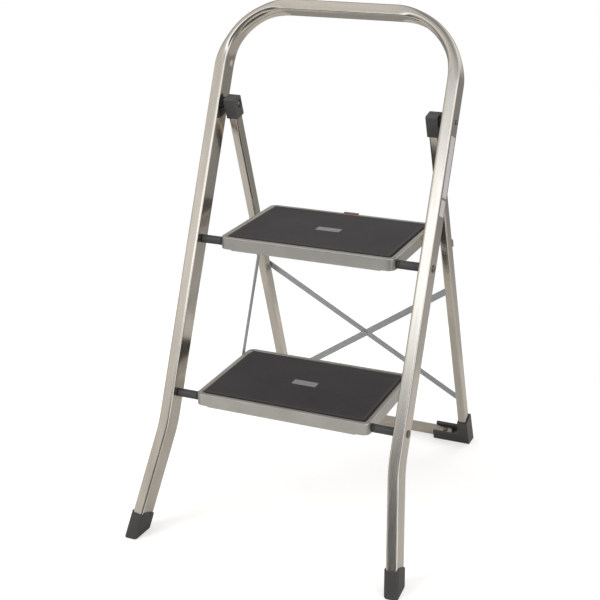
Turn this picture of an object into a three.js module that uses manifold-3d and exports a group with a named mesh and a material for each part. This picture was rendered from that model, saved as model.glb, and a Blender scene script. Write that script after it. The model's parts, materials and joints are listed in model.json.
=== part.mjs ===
// Folding two-tread step stool with a hand rail.
// Millimetres, +Z up, front of the stool towards -Y, +X to the right.
// The front frame carries both treads on rods; the rear frame swings on rivets high on the front legs.
import * as THREE from 'three';
import { mergeVertices } from 'three/addons/utils/BufferGeometryUtils.js';
import Module from 'manifold-3d';

const wasm = await Module();
wasm.setup();

// ---------------------------------------------------------------- driving dimensions
const degree = Math.PI / 180;
const seat = 0.3; // gap left between two pieces that touch
const runningGap = 0.35; // radial gap of a pin in its hole

// stance
const frontLean = 22.8 * degree;
const rearLean = 21.2 * degree;
const lowerTreadHeight = 251;
const riser = 252.6;

// front frame: one bent tube, legs and hand rail in one
const legRoom = 42; // from the side of a tread to a front leg
const legWidth = 20; // across the stool
const legDepth = 40; // along the direction the treads run
const legCorner = 3.2;
const legWall = 1.2;
const railAboveUpperRod = 418.3; // along the leaning frame
const rodBehindLeg = 2.4; // rod axis behind the tube centreline
const railBendRadius = 113;
const splayHeight = 185; // height above the floor where the legs turn outwards
const splayAngle = 7.9 * degree;
const splayBendRadius = 300;
const legEndHeight = 14; // tube end above the floor, inside its foot

// front feet
const footWall = 2;
const footCollar = 22.5; // front wall above the tube end, along the leg
const footShoulder = 2; // from a side wall's edge to where its top starts to rise
const footEar = 3.5; // how much the side walls rise above the front wall
const footEarRadius = 9;

// rods that the treads turn on
const rodRadius = 4;
const rodHeadRadius = 6.6;
const rodHeadHeight = 2.6;
const spacerRadius = 7.5;

// treads
const trayWidth = 320;
const trayDepth = 223.2;
const trayCorner = 14;
const traySkirt = 22.9; // full height of the pressed edge
const traySheet = 1.2;
const trayRim = 9; // width of the folded rim around the mat
const trayFlapInset = 22; // from the tray's side to the deeper front and back flaps
const trayFlapDrop = 1.4; // flaps below the corners and the sides
const rodBelowRim = 14.2;
const rodBehindFront = 20.5;
const matThickness = 4.4;
const matRise = 1; // mat above the rim
const matSideGap = 3;
const matCorner = 4;
const plateLength = 45;
const plateDepth = 18;
const plateCorner = 2;
const plateThickness = 0.8;
const trayFloorSheet = 1;
const bushFlange = 3.6; // thickness of the bush flange outside the skirt
const bushWall = 1.2;
const bushTail = 2; // barrel inside the skirt

// links between the treads
const linkPinBehindRod = 177;
const linkWidth = 10;
const linkThickness = 2;
const linkStandOff = 2.4; // from the skirt to the link
const linkPinRadius = 2.4;
const linkHeadRadius = 4.5;
const linkHeadHeight = 1.8;

// hinge at the top of the rear frame
const hingeAboveUpperRod = 243.8; // along the leaning frame
const hingeBehindRods = 3; // behind the line through the rods
const hingeRivetRadius = 3;
const hingeHeadRadius = 4.5;
const hingeInnerHeadRadius = 4;
const hingeHeadHeight = 2.4;

// rear frame
const rearLegRoom = 16.95; // from the side of a tread to a rear leg, at the hinge
const rearSplay = 0.5 * degree;
const rearLegWidth = 16;
const rearLegDepth = 22.5;
const rearLegCorner = 3;
const rearLegWall = 1;
const rearLegAheadOfHinge = 3; // tube centreline in front of the hinge axis
const rearLegTop = 5; // tube end above the hinge
const rearLegEndLift = 17; // tube end above the floor, along the leg

// hinge caps on the rear legs
const capSideWall = 2;
const capFrontWall = 1.2;
const capBackWall = 2.2;
const capTopFront = 16.5; // above the hinge
const capTopBack = 12.4;
const capBottomFront = 22.8; // below the hinge
const capBottomBack = 26.5;
const capHubRadius = 10;
const capRecessRadius = 7.5;
const capEdge = 1.8;

// rail behind the rear legs that the upper tread rests on
const supportRadius = 7;
const supportFlatThickness = 4.5;
const supportFlatHeight = 17;
const supportFlatLength = 25.5;
const supportTaper = 13; // from the flat end to the round rail

// bottom bar of the rear frame and its shoes
const barAboveFloor = 15.7; // bar centreline to the floor, along the leg
const barEndGap = 1.2; // from the bar's end to the leg
const barHeight = 15.4;
const barDepth = 18.4;
const barBehindLeg = 1; // bar centreline behind the leg centreline
const barPressedLength = 42;
const barPressedHeight = 12.4; // round the rivet
const barTongueLength = 22;
const barEndThickness = 6.5;
const barTaper = 10;
const barRivetInset = 32; // from the bar's end
const barRivetHeadRadius = 5;
const barRivetHeadHeight = 3;
const shoeFrontWall = 1.5;
const shoeBackWall = 5.4;
const shoeSideWall = 4; // at the floor
const shoeSideWallTop = 1.8;
const shoeInnerWall = 1.6;
const shoeLength = 75.1;
const shoeTrough = 2.3; // front wall above the bar
const shoeSocket = 45.5; // socket above the leg end, along the leg
const shoeFillet = 8;

// cross braces
const braceWidth = 13;
const braceThickness = 1.5;
const braceTop = 369; // below the hinge, along the leg
const braceBottom = 667;
const braceRivetRadius = 2;
const braceHeadRadius = 4;
const braceHeadHeight = 1.6;
const rivetGrip = 3; // length of a blind rivet inside the tube wall

// catch at the back of the upper tread
const catchTabWidth = 28;
const catchTabThickness = 4.6;
const catchTabRise = 1.2; // above the tray rim
const catchTabRoom = 1; // tray rim cut away on each side of the tab
const catchTabAhead = 2.4; // front of the tab to the back of the tray
const catchNotchDepth = 6.8; // room in the rim for the tab's swing
const catchNotchDrop = 7.4; // notch below the rim
const catchTabHeight = 5.6;
const catchBodyWidth = 20;
const catchBossRadius = 3.9;
const catchAxisBehindTray = 7.1;
const catchAxisBelowRim = 14.6;
const catchArmThickness = 3;
const catchLipThickness = 3;
const catchLipReach = 5.5;
const catchArmClearance = 1.2; // between the support rail and the arm behind it
const catchPinRadius = 1.5;
const catchPinHeadRadius = 2.6;
const catchPinHeadHeight = 1.2;
const bracketSheet = 1.4;
const springRadius = 2.5; // to the middle of the wire
const springWire = 0.4; // radius of the wire
const springTurns = 5;
const springPitch = 1;
const springLegLength = 6;
const springSlotWidth = 8;
const hookWidth = 30;
const hookOffset = 105; // hook centre from the middle of the tray
const hookLip = 6;

// ---------------------------------------------------------------- places worked out from the sizes
const upperRodZ = lowerTreadHeight + riser - rodBelowRim;
const rodPitch = riser / Math.cos(frontLean); // between the two rods, along the frame
const traySide = trayWidth / 2;
const legInner = traySide + legRoom;
const legCentre = legInner + legWidth / 2;
const legOuter = legInner + legWidth;
const trayBack = trayDepth - rodBehindFront; // rod axis to the back of the tray
const traySkirtBottom = rodBelowRim - traySkirt;
const trayMiddle = trayDepth / 2 - rodBehindFront; // rod axis to the middle of the tray
const matTop = rodBelowRim + matRise;
const trayFloorTop = matTop - matThickness - seat;
const trayFloorBottom = trayFloorTop - trayFloorSheet;
const linkX = traySide + linkStandOff + linkThickness / 2;
const bushBarrelRadius = rodRadius + runningGap + bushWall;
const hingeY = hingeAboveUpperRod * Math.sin(frontLean) + hingeBehindRods * Math.cos(frontLean);
const hingeZ = upperRodZ + hingeAboveUpperRod * Math.cos(frontLean) - hingeBehindRods * Math.sin(frontLean);
const rearLegX = traySide + rearLegRoom + rearLegWidth / 2;
const rearBack = rearLegDepth / 2 - rearLegAheadOfHinge; // back face of the rear legs, behind the hinge
const rearFront = rearLegDepth / 2 + rearLegAheadOfHinge; // front face, ahead of the hinge
const rearFloor = (hingeZ - rearLegAheadOfHinge * Math.sin(rearLean)) / Math.cos(rearLean);
const rearLegEnd = rearFloor - rearLegEndLift;
const barDrop = rearFloor - barAboveFloor;
const rearLegEndX = rearLegX + rearLegEnd * Math.sin(rearSplay);
const barEndHalf = rearLegEndX - rearLegWidth / 2 - barEndGap;
const barRivetX = barEndHalf - barRivetInset;
const barAhead = rearLegAheadOfHinge - barBehindLeg;
const supportBehindHinge = rearBack + seat + supportRadius;
const hookZ = upperRodZ + traySkirtBottom; // underside of the tray hooks
const supportDrop =
  (hingeZ + supportBehindHinge * Math.sin(rearLean) - (hookZ - seat - supportRadius)) / Math.cos(rearLean);
const supportY = hingeY + supportDrop * Math.sin(rearLean) + supportBehindHinge * Math.cos(rearLean);
const supportZ = hookZ - seat - supportRadius;
const catchAxisY = trayBack + catchAxisBehindTray;
const catchAxisV = rodBelowRim - catchAxisBelowRim;

// ---------------------------------------------------------------- materials
function metal(color, roughness) {
  return new THREE.MeshStandardMaterial({ color, roughness, metalness: 1 });
}
function plastic(color, roughness) {
  return new THREE.MeshStandardMaterial({ color, roughness, metalness: 0 });
}
const polishedSteel = metal(0xc8c0b4, 0.25);
const satinSteel = metal(0xa3a19a, 0.45);
const zincSteel = metal(0x9da0a3, 0.4);
const rubber = plastic(0x44423f, 0.8);
const darkPlastic = plastic(0x464442, 0.55);
const greyPlastic = plastic(0x8e8b8b, 0.5);
const redPlastic = plastic(0x9c3a36, 0.45);

// ---------------------------------------------------------------- geometry helpers

/** The same surface with shared corners merged and its faces turned outwards. */
function closed(geometry) {
  const bare = new THREE.BufferGeometry();
  bare.setAttribute('position', geometry.getAttribute('position').clone());
  if (geometry.index) bare.setIndex(geometry.index.clone());
  const merged = mergeVertices(bare, 1e-3);
  const p = merged.getAttribute('position');
  const index = Array.from(merged.index.array);
  const [a, b, c] = [new THREE.Vector3(), new THREE.Vector3(), new THREE.Vector3()];
  const kept = [];
  let volume = 0;
  for (let i = 0; i < index.length; i += 3) {
    const [ia, ib, ic] = index.slice(i, i + 3);
    if (ia === ib || ib === ic || ic === ia) continue;
    kept.push(ia, ib, ic);
    a.fromBufferAttribute(p, ia);
    b.fromBufferAttribute(p, ib);
    c.fromBufferAttribute(p, ic);
    volume += a.dot(b.cross(c));
  }
  merged.setIndex(volume < 0 ? kept.reverse() : kept);
  return merged;
}

function toSolid(geometry) {
  const merged = closed(geometry);
  return new wasm.Manifold(
    new wasm.Mesh({
      numProp: 3,
      vertProperties: new Float32Array(merged.getAttribute('position').array),
      triVerts: new Uint32Array(merged.index.array),
    }),
  );
}

function toGeometry(solid) {
  const mesh = solid.getMesh();
  const geometry = new THREE.BufferGeometry();
  geometry.setAttribute('position', new THREE.BufferAttribute(new Float32Array(mesh.vertProperties), 3));
  geometry.setIndex(Array.from(mesh.triVerts));
  return geometry;
}

/** A solid minus each of the others. */
function cut(geometry, ...tools) {
  return toGeometry(tools.reduce((solid, tool) => solid.subtract(toSolid(tool)), toSolid(geometry)));
}
function join(...geometries) {
  return toGeometry(geometries.map(toSolid).reduce((sum, solid) => sum.add(solid)));
}
function common(...geometries) {
  return toGeometry(geometries.map(toSolid).reduce((sum, solid) => sum.intersect(solid)));
}

/** Corner points of a rounded rectangle about the origin, counterclockwise. */
function roundedPoints(width, height, radius, steps = 3) {
  const r = Math.min(radius, width / 2 - 1e-3, height / 2 - 1e-3);
  const points = [];
  for (const [sx, sy, start] of [[1, 1, 0], [-1, 1, 90], [-1, -1, 180], [1, -1, 270]]) {
    for (let i = 0; i <= steps; i++) {
      const angle = (start + (90 * i) / steps) * degree;
      const x = sx * (width / 2 - r) + r * Math.cos(angle);
      const y = sy * (height / 2 - r) + r * Math.sin(angle);
      points.push(new THREE.Vector2(x, y));
    }
  }
  return points;
}
function roundedShape(width, height, radius, steps) {
  return new THREE.Shape(roundedPoints(width, height, radius, steps));
}
function tubeShape(width, height, radius, wall, steps) {
  const shape = roundedShape(width, height, radius, steps);
  const inner = roundedPoints(width - 2 * wall, height - 2 * wall, radius - wall, steps);
  shape.holes.push(new THREE.Path(inner));
  return shape;
}

/** A block of the given size, centred on (x, y, z). */
function block(sizeX, sizeY, sizeZ, x = 0, y = 0, z = 0) {
  return new THREE.BoxGeometry(sizeX, sizeY, sizeZ).translate(x, y, z);
}

/** A flat outline in X and Y given thickness along Z, from z up. */
function slab(shape, thickness, z = 0) {
  const flat = new THREE.ExtrudeGeometry(shape, { depth: thickness, bevelEnabled: false, curveSegments: 8 });
  return flat.translate(0, 0, z);
}

/** An outline drawn in (Y, Z) given length along X, centred on x. */
function sidePiece(shape, length, x = 0) {
  const flat = new THREE.ExtrudeGeometry(shape, { depth: length, bevelEnabled: false, curveSegments: 8 });
  return flat.rotateX(Math.PI / 2).rotateZ(Math.PI / 2).translate(x - length / 2, 0, 0);
}

/** A path through fixed points; each section is set square to the turn. */
class Polyline extends THREE.Curve {
  constructor(points) {
    super();
    this.points = points;
  }
  getPoint(t, target = new THREE.Vector3()) {
    const last = this.points.length - 1;
    const i = Math.min(Math.floor(t * last + 1e-6), last - 1);
    return target.lerpVectors(this.points[i], this.points[i + 1], t * last - i);
  }
  getPointAt(u, target) {
    return this.getPoint(u, target);
  }
  getTangentAt(u, target = new THREE.Vector3()) {
    const last = this.points.length - 1;
    const i = Math.round(u * last);
    const before = this.points[Math.max(i - 1, 0)];
    const after = this.points[Math.min(i + 1, last)];
    const here = this.points[i];
    const leaving = after.clone().sub(here).normalize();
    const arriving = here.clone().sub(before).normalize();
    return target.copy(leaving).add(arriving).normalize();
  }
}
function sweep(shape, points) {
  const extrudePath = new Polyline(points);
  return new THREE.ExtrudeGeometry(shape, { steps: points.length - 1, bevelEnabled: false, extrudePath });
}

/** Points along straight runs joined by arcs, in the XY plane. */
function bentPath(corners) {
  const path = [];
  corners.forEach(({ x, y, radius = 0, steps = 1 }, i) => {
    const here = new THREE.Vector3(x, y, 0);
    if (!radius) {
      path.push(here);
      return;
    }
    const back = new THREE.Vector3(corners[i - 1].x, corners[i - 1].y, 0).sub(here).normalize();
    const on = new THREE.Vector3(corners[i + 1].x, corners[i + 1].y, 0).sub(here).normalize();
    const half = back.angleTo(on) / 2;
    const centre = here.clone().addScaledVector(back.clone().add(on).normalize(), radius / Math.sin(half));
    const start = here.clone().addScaledVector(back, radius / Math.tan(half)).sub(centre);
    const end = here.clone().addScaledVector(on, radius / Math.tan(half)).sub(centre);
    const turn = start.angleTo(end) * Math.sign(start.x * end.y - start.y * end.x);
    for (let k = 0; k <= steps; k++) {
      path.push(start.clone().applyAxisAngle(new THREE.Vector3(0, 0, 1), (turn * k) / steps).add(centre));
    }
  });
  return path;
}

/** A body turned about the X axis. Each pair is [radius, x]; the outline starts and ends on the axis. */
function turned(outline, segments = 14) {
  const points = outline.map(([radius, x]) => new THREE.Vector2(radius, x));
  return new THREE.LatheGeometry(points, segments).rotateZ(-Math.PI / 2);
}
function cylinder(radius, fromX, toX, segments = 14) {
  return turned([[0, fromX], [radius, fromX], [radius, toX], [0, toX]], segments);
}
function ring(outer, inner, fromX, toX, segments = 20) {
  return turned([[inner, fromX], [outer, fromX], [outer, toX], [inner, toX], [inner, fromX]], segments);
}

/** Outline of a domed head that rises from (radius, x) to the axis; direction is +1 or -1 along X. */
function dome(radius, x, height, direction) {
  const points = [];
  const edge = 0.35; // share of the height that is a straight edge
  for (const angle of [0, 45, 90]) {
    const rise = edge + (1 - edge) * Math.sin(angle * degree);
    points.push([radius * Math.cos(angle * degree), x + direction * height * rise]);
  }
  points[points.length - 1][0] = 0;
  return [[radius, x], ...points];
}

/** A rivet along X from its first head to its second, with the shank between them. */
function rivet({ shank, from, to, head, height, otherHead = head, otherHeight = height }) {
  const first = dome(head, from, height, -1).reverse();
  const second = dome(otherHead, to, otherHeight, 1);
  return turned([...first, [shank, from], [shank, to], ...second]);
}

/** A blind rivet along Z: head behind z = 0, shank towards +Z. */
function blindRivet(length) {
  const outline = [...dome(braceHeadRadius, 0, braceHeadHeight, -1).reverse(), [braceRivetRadius, 0]];
  outline.push([braceRivetRadius, length], [0, length]);
  return turned(outline, 12).rotateY(-Math.PI / 2);
}

/** Rings of matching points skinned into one body, hollow if inner rings are given. */
function loft(outer, inner) {
  const rings = inner ? [...outer, ...inner.slice().reverse(), outer[0]] : outer;
  const count = outer[0].length;
  const positions = rings.flat().flatMap((v) => [v.x, v.y, v.z]);
  const index = [];
  for (let i = 0; i + 1 < rings.length; i++) {
    for (let k = 0; k < count; k++) {
      const [a, b] = [i * count + k, i * count + ((k + 1) % count)];
      index.push(a, b, b + count, a, b + count, a + count);
    }
  }
  for (let k = 1; !inner && k + 1 < count; k++) {
    const end = (rings.length - 1) * count;
    index.push(0, k + 1, k, end, end + k, end + k + 1);
  }
  const geometry = new THREE.BufferGeometry();
  geometry.setAttribute('position', new THREE.Float32BufferAttribute(positions, 3));
  geometry.setIndex(index);
  return geometry;
}

/** Everything below the floor, in the frame of the given group. */
function belowFloor(group) {
  group.updateWorldMatrix(true, false);
  const size = 4000;
  return block(size, size, size, 0, 0, -size / 2).applyMatrix4(group.matrixWorld.clone().invert());
}

function add(group, name, geometry, material, x = 0, y = 0, z = 0) {
  const shape = closed(geometry).toNonIndexed();
  shape.computeVertexNormals();
  const mesh = new THREE.Mesh(shape, material);
  mesh.name = name;
  mesh.position.set(x, y, z);
  group.add(mesh);
  return mesh;
}
function subGroup(parent, x = 0, y = 0, z = 0, turnX = 0, turnZ = 0) {
  const group = new THREE.Group();
  group.position.set(x, y, z);
  group.rotation.set(turnX, 0, turnZ);
  parent.add(group);
  return group;
}
const sides = [['left', -1], ['right', 1]];

// ---------------------------------------------------------------- front frame
// Group frame: origin on the upper rod, Y up along the leaning frame, Z square to it towards the front.

function splayEnd() {
  const drop = (upperRodZ + rodBehindLeg * Math.sin(frontLean) - splayHeight) / Math.cos(frontLean);
  const length = (splayHeight - legEndHeight) / Math.cos(frontLean);
  const x = legCentre + length * Math.tan(splayAngle);
  return { bend: { x: legCentre, y: -drop }, end: { x, y: -drop - length } };
}

function frameTube() {
  const { bend, end } = splayEnd();
  const half = [
    end,
    { ...bend, radius: splayBendRadius, steps: 3 },
    { x: legCentre, y: railAboveUpperRod, radius: railBendRadius, steps: 9 },
  ];
  const mirrored = half.map((corner) => ({ ...corner, x: -corner.x })).reverse();
  const section = tubeShape(legDepth, legWidth, legCorner, legWall, 3);
  const tube = sweep(section, bentPath([...half, ...mirrored])).translate(0, 0, rodBehindLeg);
  const across = legOuter + legWidth;
  const rodHole = cylinder(rodRadius + runningGap, -across, across);
  const hingeHole = cylinder(hingeRivetRadius + runningGap, -across, across);
  return cut(
    tube,
    rodHole,
    rodHole.clone().translate(0, -rodPitch, 0),
    hingeHole.translate(0, hingeAboveUpperRod, -hingeBehindRods),
  );
}

/** Rubber foot on a tube end. Its group has Y along the splayed leg and its origin at the tube end. */
function frontFoot(group) {
  const width = legWidth + 2 * (footWall + seat);
  const depth = legDepth + 2 * (footWall + seat);
  const below = 3 * legEndHeight; // far enough to be cut by the floor
  const height = footCollar + footEar + below;
  const upright = (shape) => slab(shape, height).rotateX(-Math.PI / 2).translate(0, -below, 0);
  const body = upright(roundedShape(width, depth, legCorner + footWall, 3));
  const side = new THREE.Shape();
  const crest = footCollar + footEar;
  const foothill = depth / 2 - footShoulder; // where the side wall starts to rise
  const bend = foothill - footShoulder;
  side.moveTo(-depth, -below);
  side.lineTo(depth, -below);
  side.lineTo(depth, footCollar);
  side.lineTo(foothill, footCollar);
  side.quadraticCurveTo(bend, crest, bend - footEarRadius, crest);
  side.lineTo(footEarRadius - bend, crest);
  side.quadraticCurveTo(-bend, crest, -foothill, footCollar);
  side.lineTo(-depth, footCollar);
  const eared = slab(side, 2 * width, -width).rotateY(-Math.PI / 2);
  const socket = roundedShape(legWidth + 2 * seat, legDepth + 2 * seat, legCorner + seat, 3);
  const bore = slab(socket, height).rotateX(-Math.PI / 2).translate(0, -seat, 0);
  return cut(common(body, eared), bore, belowFloor(group));
}

function treadRod() {
  return rivet({
    shank: rodRadius,
    from: -legOuter - seat,
    to: legOuter + seat,
    head: rodHeadRadius,
    height: rodHeadHeight,
  });
}

function hingeRivet(side) {
  const outer = legOuter + seat;
  const inner = rearLegX - rearLegWidth / 2 - seat;
  const [from, to] = side > 0 ? [inner, outer] : [-outer, -inner];
  const heads = [hingeInnerHeadRadius, hingeHeadRadius];
  const [head, otherHead] = side > 0 ? heads : heads.reverse();
  return rivet({ shank: hingeRivetRadius, from, to, head, otherHead, height: hingeHeadHeight });
}

function buildFrontFrame(stool) {
  const frame = subGroup(stool, 0, 0, upperRodZ, Math.PI / 2 - frontLean);
  add(frame, 'front_frame_tube', frameTube(), polishedSteel);
  add(frame, 'upper_rod', treadRod(), zincSteel);
  add(frame, 'lower_rod', treadRod(), zincSteel, 0, -rodPitch);
  const { end } = splayEnd();
  const spacerStart = traySide + bushFlange + 2 * seat;
  const spacer = ring(spacerRadius, rodRadius + runningGap, spacerStart, legInner - seat);
  for (const [name, side] of sides) {
    const foot = subGroup(frame, side * end.x, end.y, rodBehindLeg, 0, side * splayAngle);
    add(foot, `front_foot_${name}`, frontFoot(foot), rubber);
    const turnedSpacer = side > 0 ? spacer : spacer.clone().rotateY(Math.PI);
    add(frame, `upper_spacer_${name}`, turnedSpacer, darkPlastic);
    add(frame, `lower_spacer_${name}`, turnedSpacer, darkPlastic, 0, -rodPitch);
    add(frame, `hinge_rivet_${name}`, hingeRivet(side), zincSteel, 0, hingeAboveUpperRod, -hingeBehindRods);
  }
}

// ---------------------------------------------------------------- treads
// Group frame: origin on the tread's rod, Y to the back, Z up.

function pressedTray() {
  const far = 2 * trayDepth;
  const outline = (inset, corner) => roundedShape(trayWidth - 2 * inset, trayDepth - 2 * inset, corner, 4);
  const level = (shape, from, to) => slab(shape, to - from, from).translate(0, trayMiddle, 0);
  const body = level(outline(0, trayCorner), traySkirtBottom, rodBelowRim);
  const below = traySkirtBottom - traySheet;
  const hollow = level(outline(traySheet, trayCorner - traySheet), below, rodBelowRim - traySheet);
  const panWall = trayRim - traySheet;
  const pan = level(outline(panWall, trayCorner - panWall), trayFloorBottom, rodBelowRim - traySheet / 2);
  const well = level(outline(trayRim, trayCorner - trayRim), trayFloorTop, rodBelowRim + traySheet);
  const front = new THREE.Shape();
  const half = trayWidth / 2 + traySheet;
  const flap = trayWidth / 2 - trayFlapInset;
  const hem = traySkirtBottom + trayFlapDrop;
  front.moveTo(-half, 2 * rodBelowRim);
  front.lineTo(-half, hem);
  front.lineTo(-flap, hem);
  front.lineTo(-flap + trayFlapDrop, traySkirtBottom);
  front.lineTo(flap - trayFlapDrop, traySkirtBottom);
  front.lineTo(flap, hem);
  front.lineTo(half, hem);
  front.lineTo(half, 2 * rodBelowRim);
  const hemmed = slab(front, 2 * far, -far).rotateX(Math.PI / 2);
  const holes = sides.flatMap(([, side]) => {
    const [from, to] = [side * (traySide - 2 * traySheet), side * (traySide + traySheet)];
    const bushHole = cylinder(bushBarrelRadius + runningGap, from, to);
    const linkHole = cylinder(linkPinRadius + runningGap, from, to).translate(0, linkPinBehindRod, 0);
    return [bushHole, linkHole];
  });
  return cut(join(cut(common(body, hemmed), hollow), pan), well, ...holes);
}

/** Tray of the upper tread: two hooks sit on the support rail, and the rim is notched for the catch. */
function upperTrayBody() {
  const reach = supportY + supportRadius + seat - trayBack;
  const hook = new THREE.Shape();
  hook.moveTo(trayBack - traySheet, traySkirtBottom);
  hook.lineTo(trayBack + reach, traySkirtBottom);
  hook.lineTo(trayBack + reach, traySkirtBottom - hookLip);
  hook.lineTo(trayBack + reach + traySheet, traySkirtBottom - hookLip);
  hook.lineTo(trayBack + reach + traySheet, traySkirtBottom + traySheet);
  hook.lineTo(trayBack - traySheet, traySkirtBottom + traySheet);
  const hooks = sides.map(([, side]) => sidePiece(hook, hookWidth, side * hookOffset));
  const notchMiddle = rodBelowRim - catchNotchDrop + traySkirt / 2;
  const notchWidth = catchTabWidth + 2 * catchTabRoom;
  const notch = block(notchWidth, 2 * catchNotchDepth, traySkirt, 0, trayBack, notchMiddle);
  return cut(join(pressedTray(), ...hooks), notch);
}

function treadMat() {
  const inset = trayRim + matSideGap;
  const shape = roundedShape(trayWidth - 2 * inset, trayDepth - 2 * inset, matCorner, 4);
  const mat = slab(shape, matThickness, matTop - matThickness).translate(0, trayMiddle, 0);
  const recess = roundedShape(plateLength + 2 * seat, plateDepth + 2 * seat, plateCorner + seat, 2);
  const recessFloor = matTop - plateThickness - seat;
  return cut(mat, slab(recess, matThickness, recessFloor).translate(0, trayMiddle, 0));
}

function matPlate() {
  const shape = roundedShape(plateLength, plateDepth, plateCorner, 2);
  return slab(shape, plateThickness, matTop - plateThickness).translate(0, trayMiddle, 0);
}

/** Flanged bush in the skirt hole, drawn for the right side. */
function treadBush() {
  const bore = rodRadius + runningGap;
  const [face, back] = [traySide + seat, traySide + seat + bushFlange];
  const tail = traySide - traySheet - bushTail;
  const barrel = [[bore, tail], [bushBarrelRadius, tail], [bushBarrelRadius, face]];
  const flange = [[spacerRadius, face], [spacerRadius, back], [bore, back], [bore, tail]];
  return turned([...barrel, ...flange], 20);
}

function linkPin(side) {
  const inner = traySide - traySheet - seat;
  const outer = linkX + linkThickness / 2 + seat;
  const [from, to] = side > 0 ? [inner, outer] : [-outer, -inner];
  return rivet({ shank: linkPinRadius, from, to, head: linkHeadRadius, height: linkHeadHeight });
}

function buildTread(stool, name, y, z, tray) {
  const tread = subGroup(stool, 0, y, z);
  add(tread, `${name}_tray`, tray, satinSteel);
  add(tread, `${name}_mat`, treadMat(), rubber);
  add(tread, `${name}_mat_plate`, matPlate(), greyPlastic);
  for (const [sideName, side] of sides) {
    const bush = side > 0 ? treadBush() : treadBush().rotateY(Math.PI);
    add(tread, `${name}_bush_${sideName}`, bush, darkPlastic);
    add(tread, `${name}_link_pin_${sideName}`, linkPin(side), zincSteel, 0, linkPinBehindRod);
  }
  return tread;
}

function linkBar() {
  const shape = roundedShape(linkWidth, rodPitch + linkWidth, linkWidth / 2, 4);
  const bar = slab(shape, linkThickness, -linkThickness / 2).rotateY(Math.PI / 2);
  bar.translate(0, rodPitch / 2, 0);
  const hole = cylinder(linkPinRadius + runningGap, -linkThickness, linkThickness);
  return cut(bar, hole, hole.clone().translate(0, rodPitch, 0));
}

function buildLinks(stool, y, z) {
  const links = subGroup(stool, 0, y + linkPinBehindRod, z, Math.PI / 2 - frontLean);
  for (const [name, side] of sides) add(links, `link_bar_${name}`, linkBar(), zincSteel, side * linkX);
}

// ---------------------------------------------------------------- catch on the upper tread
// Group frame: origin on the catch pin, Y to the back, Z up.

function catchLever() {
  const tabTop = catchAxisBelowRim + catchTabRise;
  const tabBase = tabTop - catchTabHeight;
  const tabFront = -catchAxisBehindTray - catchTabAhead;
  const tabBack = tabFront + catchTabThickness;
  const [tabY, tabZ] = [(tabFront + tabBack) / 2, (tabTop + tabBase) / 2];
  const tab = block(catchTabWidth, catchTabThickness, catchTabHeight, 0, tabY, tabZ);
  const armInner = supportY + supportRadius + catchArmClearance - catchAxisY;
  const armOuter = armInner + catchArmThickness;
  const lipTop = supportZ - upperRodZ - catchAxisV - supportRadius - seat;
  const boss = catchBossRadius;
  const neckFront = catchAxisBehindTray - seat - bracketSheet; // clear of the bracket plate when tipped
  const side = new THREE.Shape();
  side.moveTo(tabFront + 2, tabBase);
  side.lineTo(-neckFront + 2.2, tabBase - 2);
  side.lineTo(-neckFront + 2, 2);
  side.absarc(0, 0, boss, 2.6, 1.5 * Math.PI);
  side.lineTo(armInner - 2, -boss);
  side.lineTo(armInner, -boss - 2);
  side.lineTo(armInner, lipTop);
  side.lineTo(armInner - catchLipReach, lipTop);
  side.lineTo(armInner - catchLipReach, lipTop - 1);
  side.lineTo(armInner - catchLipReach + 2, lipTop - catchLipThickness);
  side.lineTo(armOuter - 1, lipTop - catchLipThickness);
  side.lineTo(armOuter, lipTop - catchLipThickness + 1);
  side.lineTo(armOuter, -2);
  side.lineTo(armOuter - 2, 0);
  side.lineTo(boss, 1);
  side.lineTo(0, 5.4);
  side.lineTo(tabBack, tabBase + 1);
  side.lineTo(tabBack, tabBase + 2);
  side.lineTo(tabFront + 2, tabBase + 2);
  const lever = join(tab, sidePiece(side, catchBodyWidth));
  const pinHole = cylinder(catchPinRadius + runningGap, -catchBodyWidth, catchBodyWidth);
  const reach = springRadius + springWire + seat;
  const slot = block(springSlotWidth, boss + 1 + reach, 2 * reach + 2, 0, (reach - boss - 1) / 2, 0);
  return cut(lever, pinHole, slot);
}

function buildCatch(tread) {
  const group = subGroup(tread, 0, catchAxisY, catchAxisV);
  add(group, 'catch_lever', catchLever(), redPlastic);
  add(group, 'catch_bracket', catchBracket(), zincSteel);
  const half = catchBodyWidth / 2 + seat + bracketSheet + seat;
  const pin = { shank: catchPinRadius, head: catchPinHeadRadius, height: catchPinHeadHeight };
  add(group, 'catch_pin', rivet({ ...pin, from: -half, to: half }), zincSteel);
  add(group, 'catch_spring', catchSpring(), zincSteel);
}

/** Folded plate on the back of the skirt; its ears hold the catch pin. */
function catchBracket() {
  const front = -catchAxisBehindTray + seat;
  const top = catchAxisBelowRim + catchTabRise - catchTabHeight - 3.5; // clear of the lever's arm
  const bottom = catchAxisBelowRim - traySkirt + 0.5;
  const earX = catchBodyWidth / 2 + seat + bracketSheet / 2;
  const [plateY, plateZ] = [front + bracketSheet / 2, (top + bottom) / 2];
  const plate = block(2 * earX + bracketSheet, bracketSheet, top - bottom, 0, plateY, plateZ);
  const ear = new THREE.Shape();
  ear.moveTo(front, bottom);
  ear.lineTo(front, top);
  ear.lineTo(front + bracketSheet, top);
  ear.lineTo(0, catchBossRadius);
  ear.absarc(0, 0, catchBossRadius, Math.PI / 2, -Math.PI / 2, true);
  ear.lineTo(front, bottom);
  const ears = sides.map(([, side]) => sidePiece(ear, bracketSheet, side * earX));
  return cut(join(plate, ...ears), cylinder(catchPinRadius + runningGap, -catchBodyWidth, catchBodyWidth));
}

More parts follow.
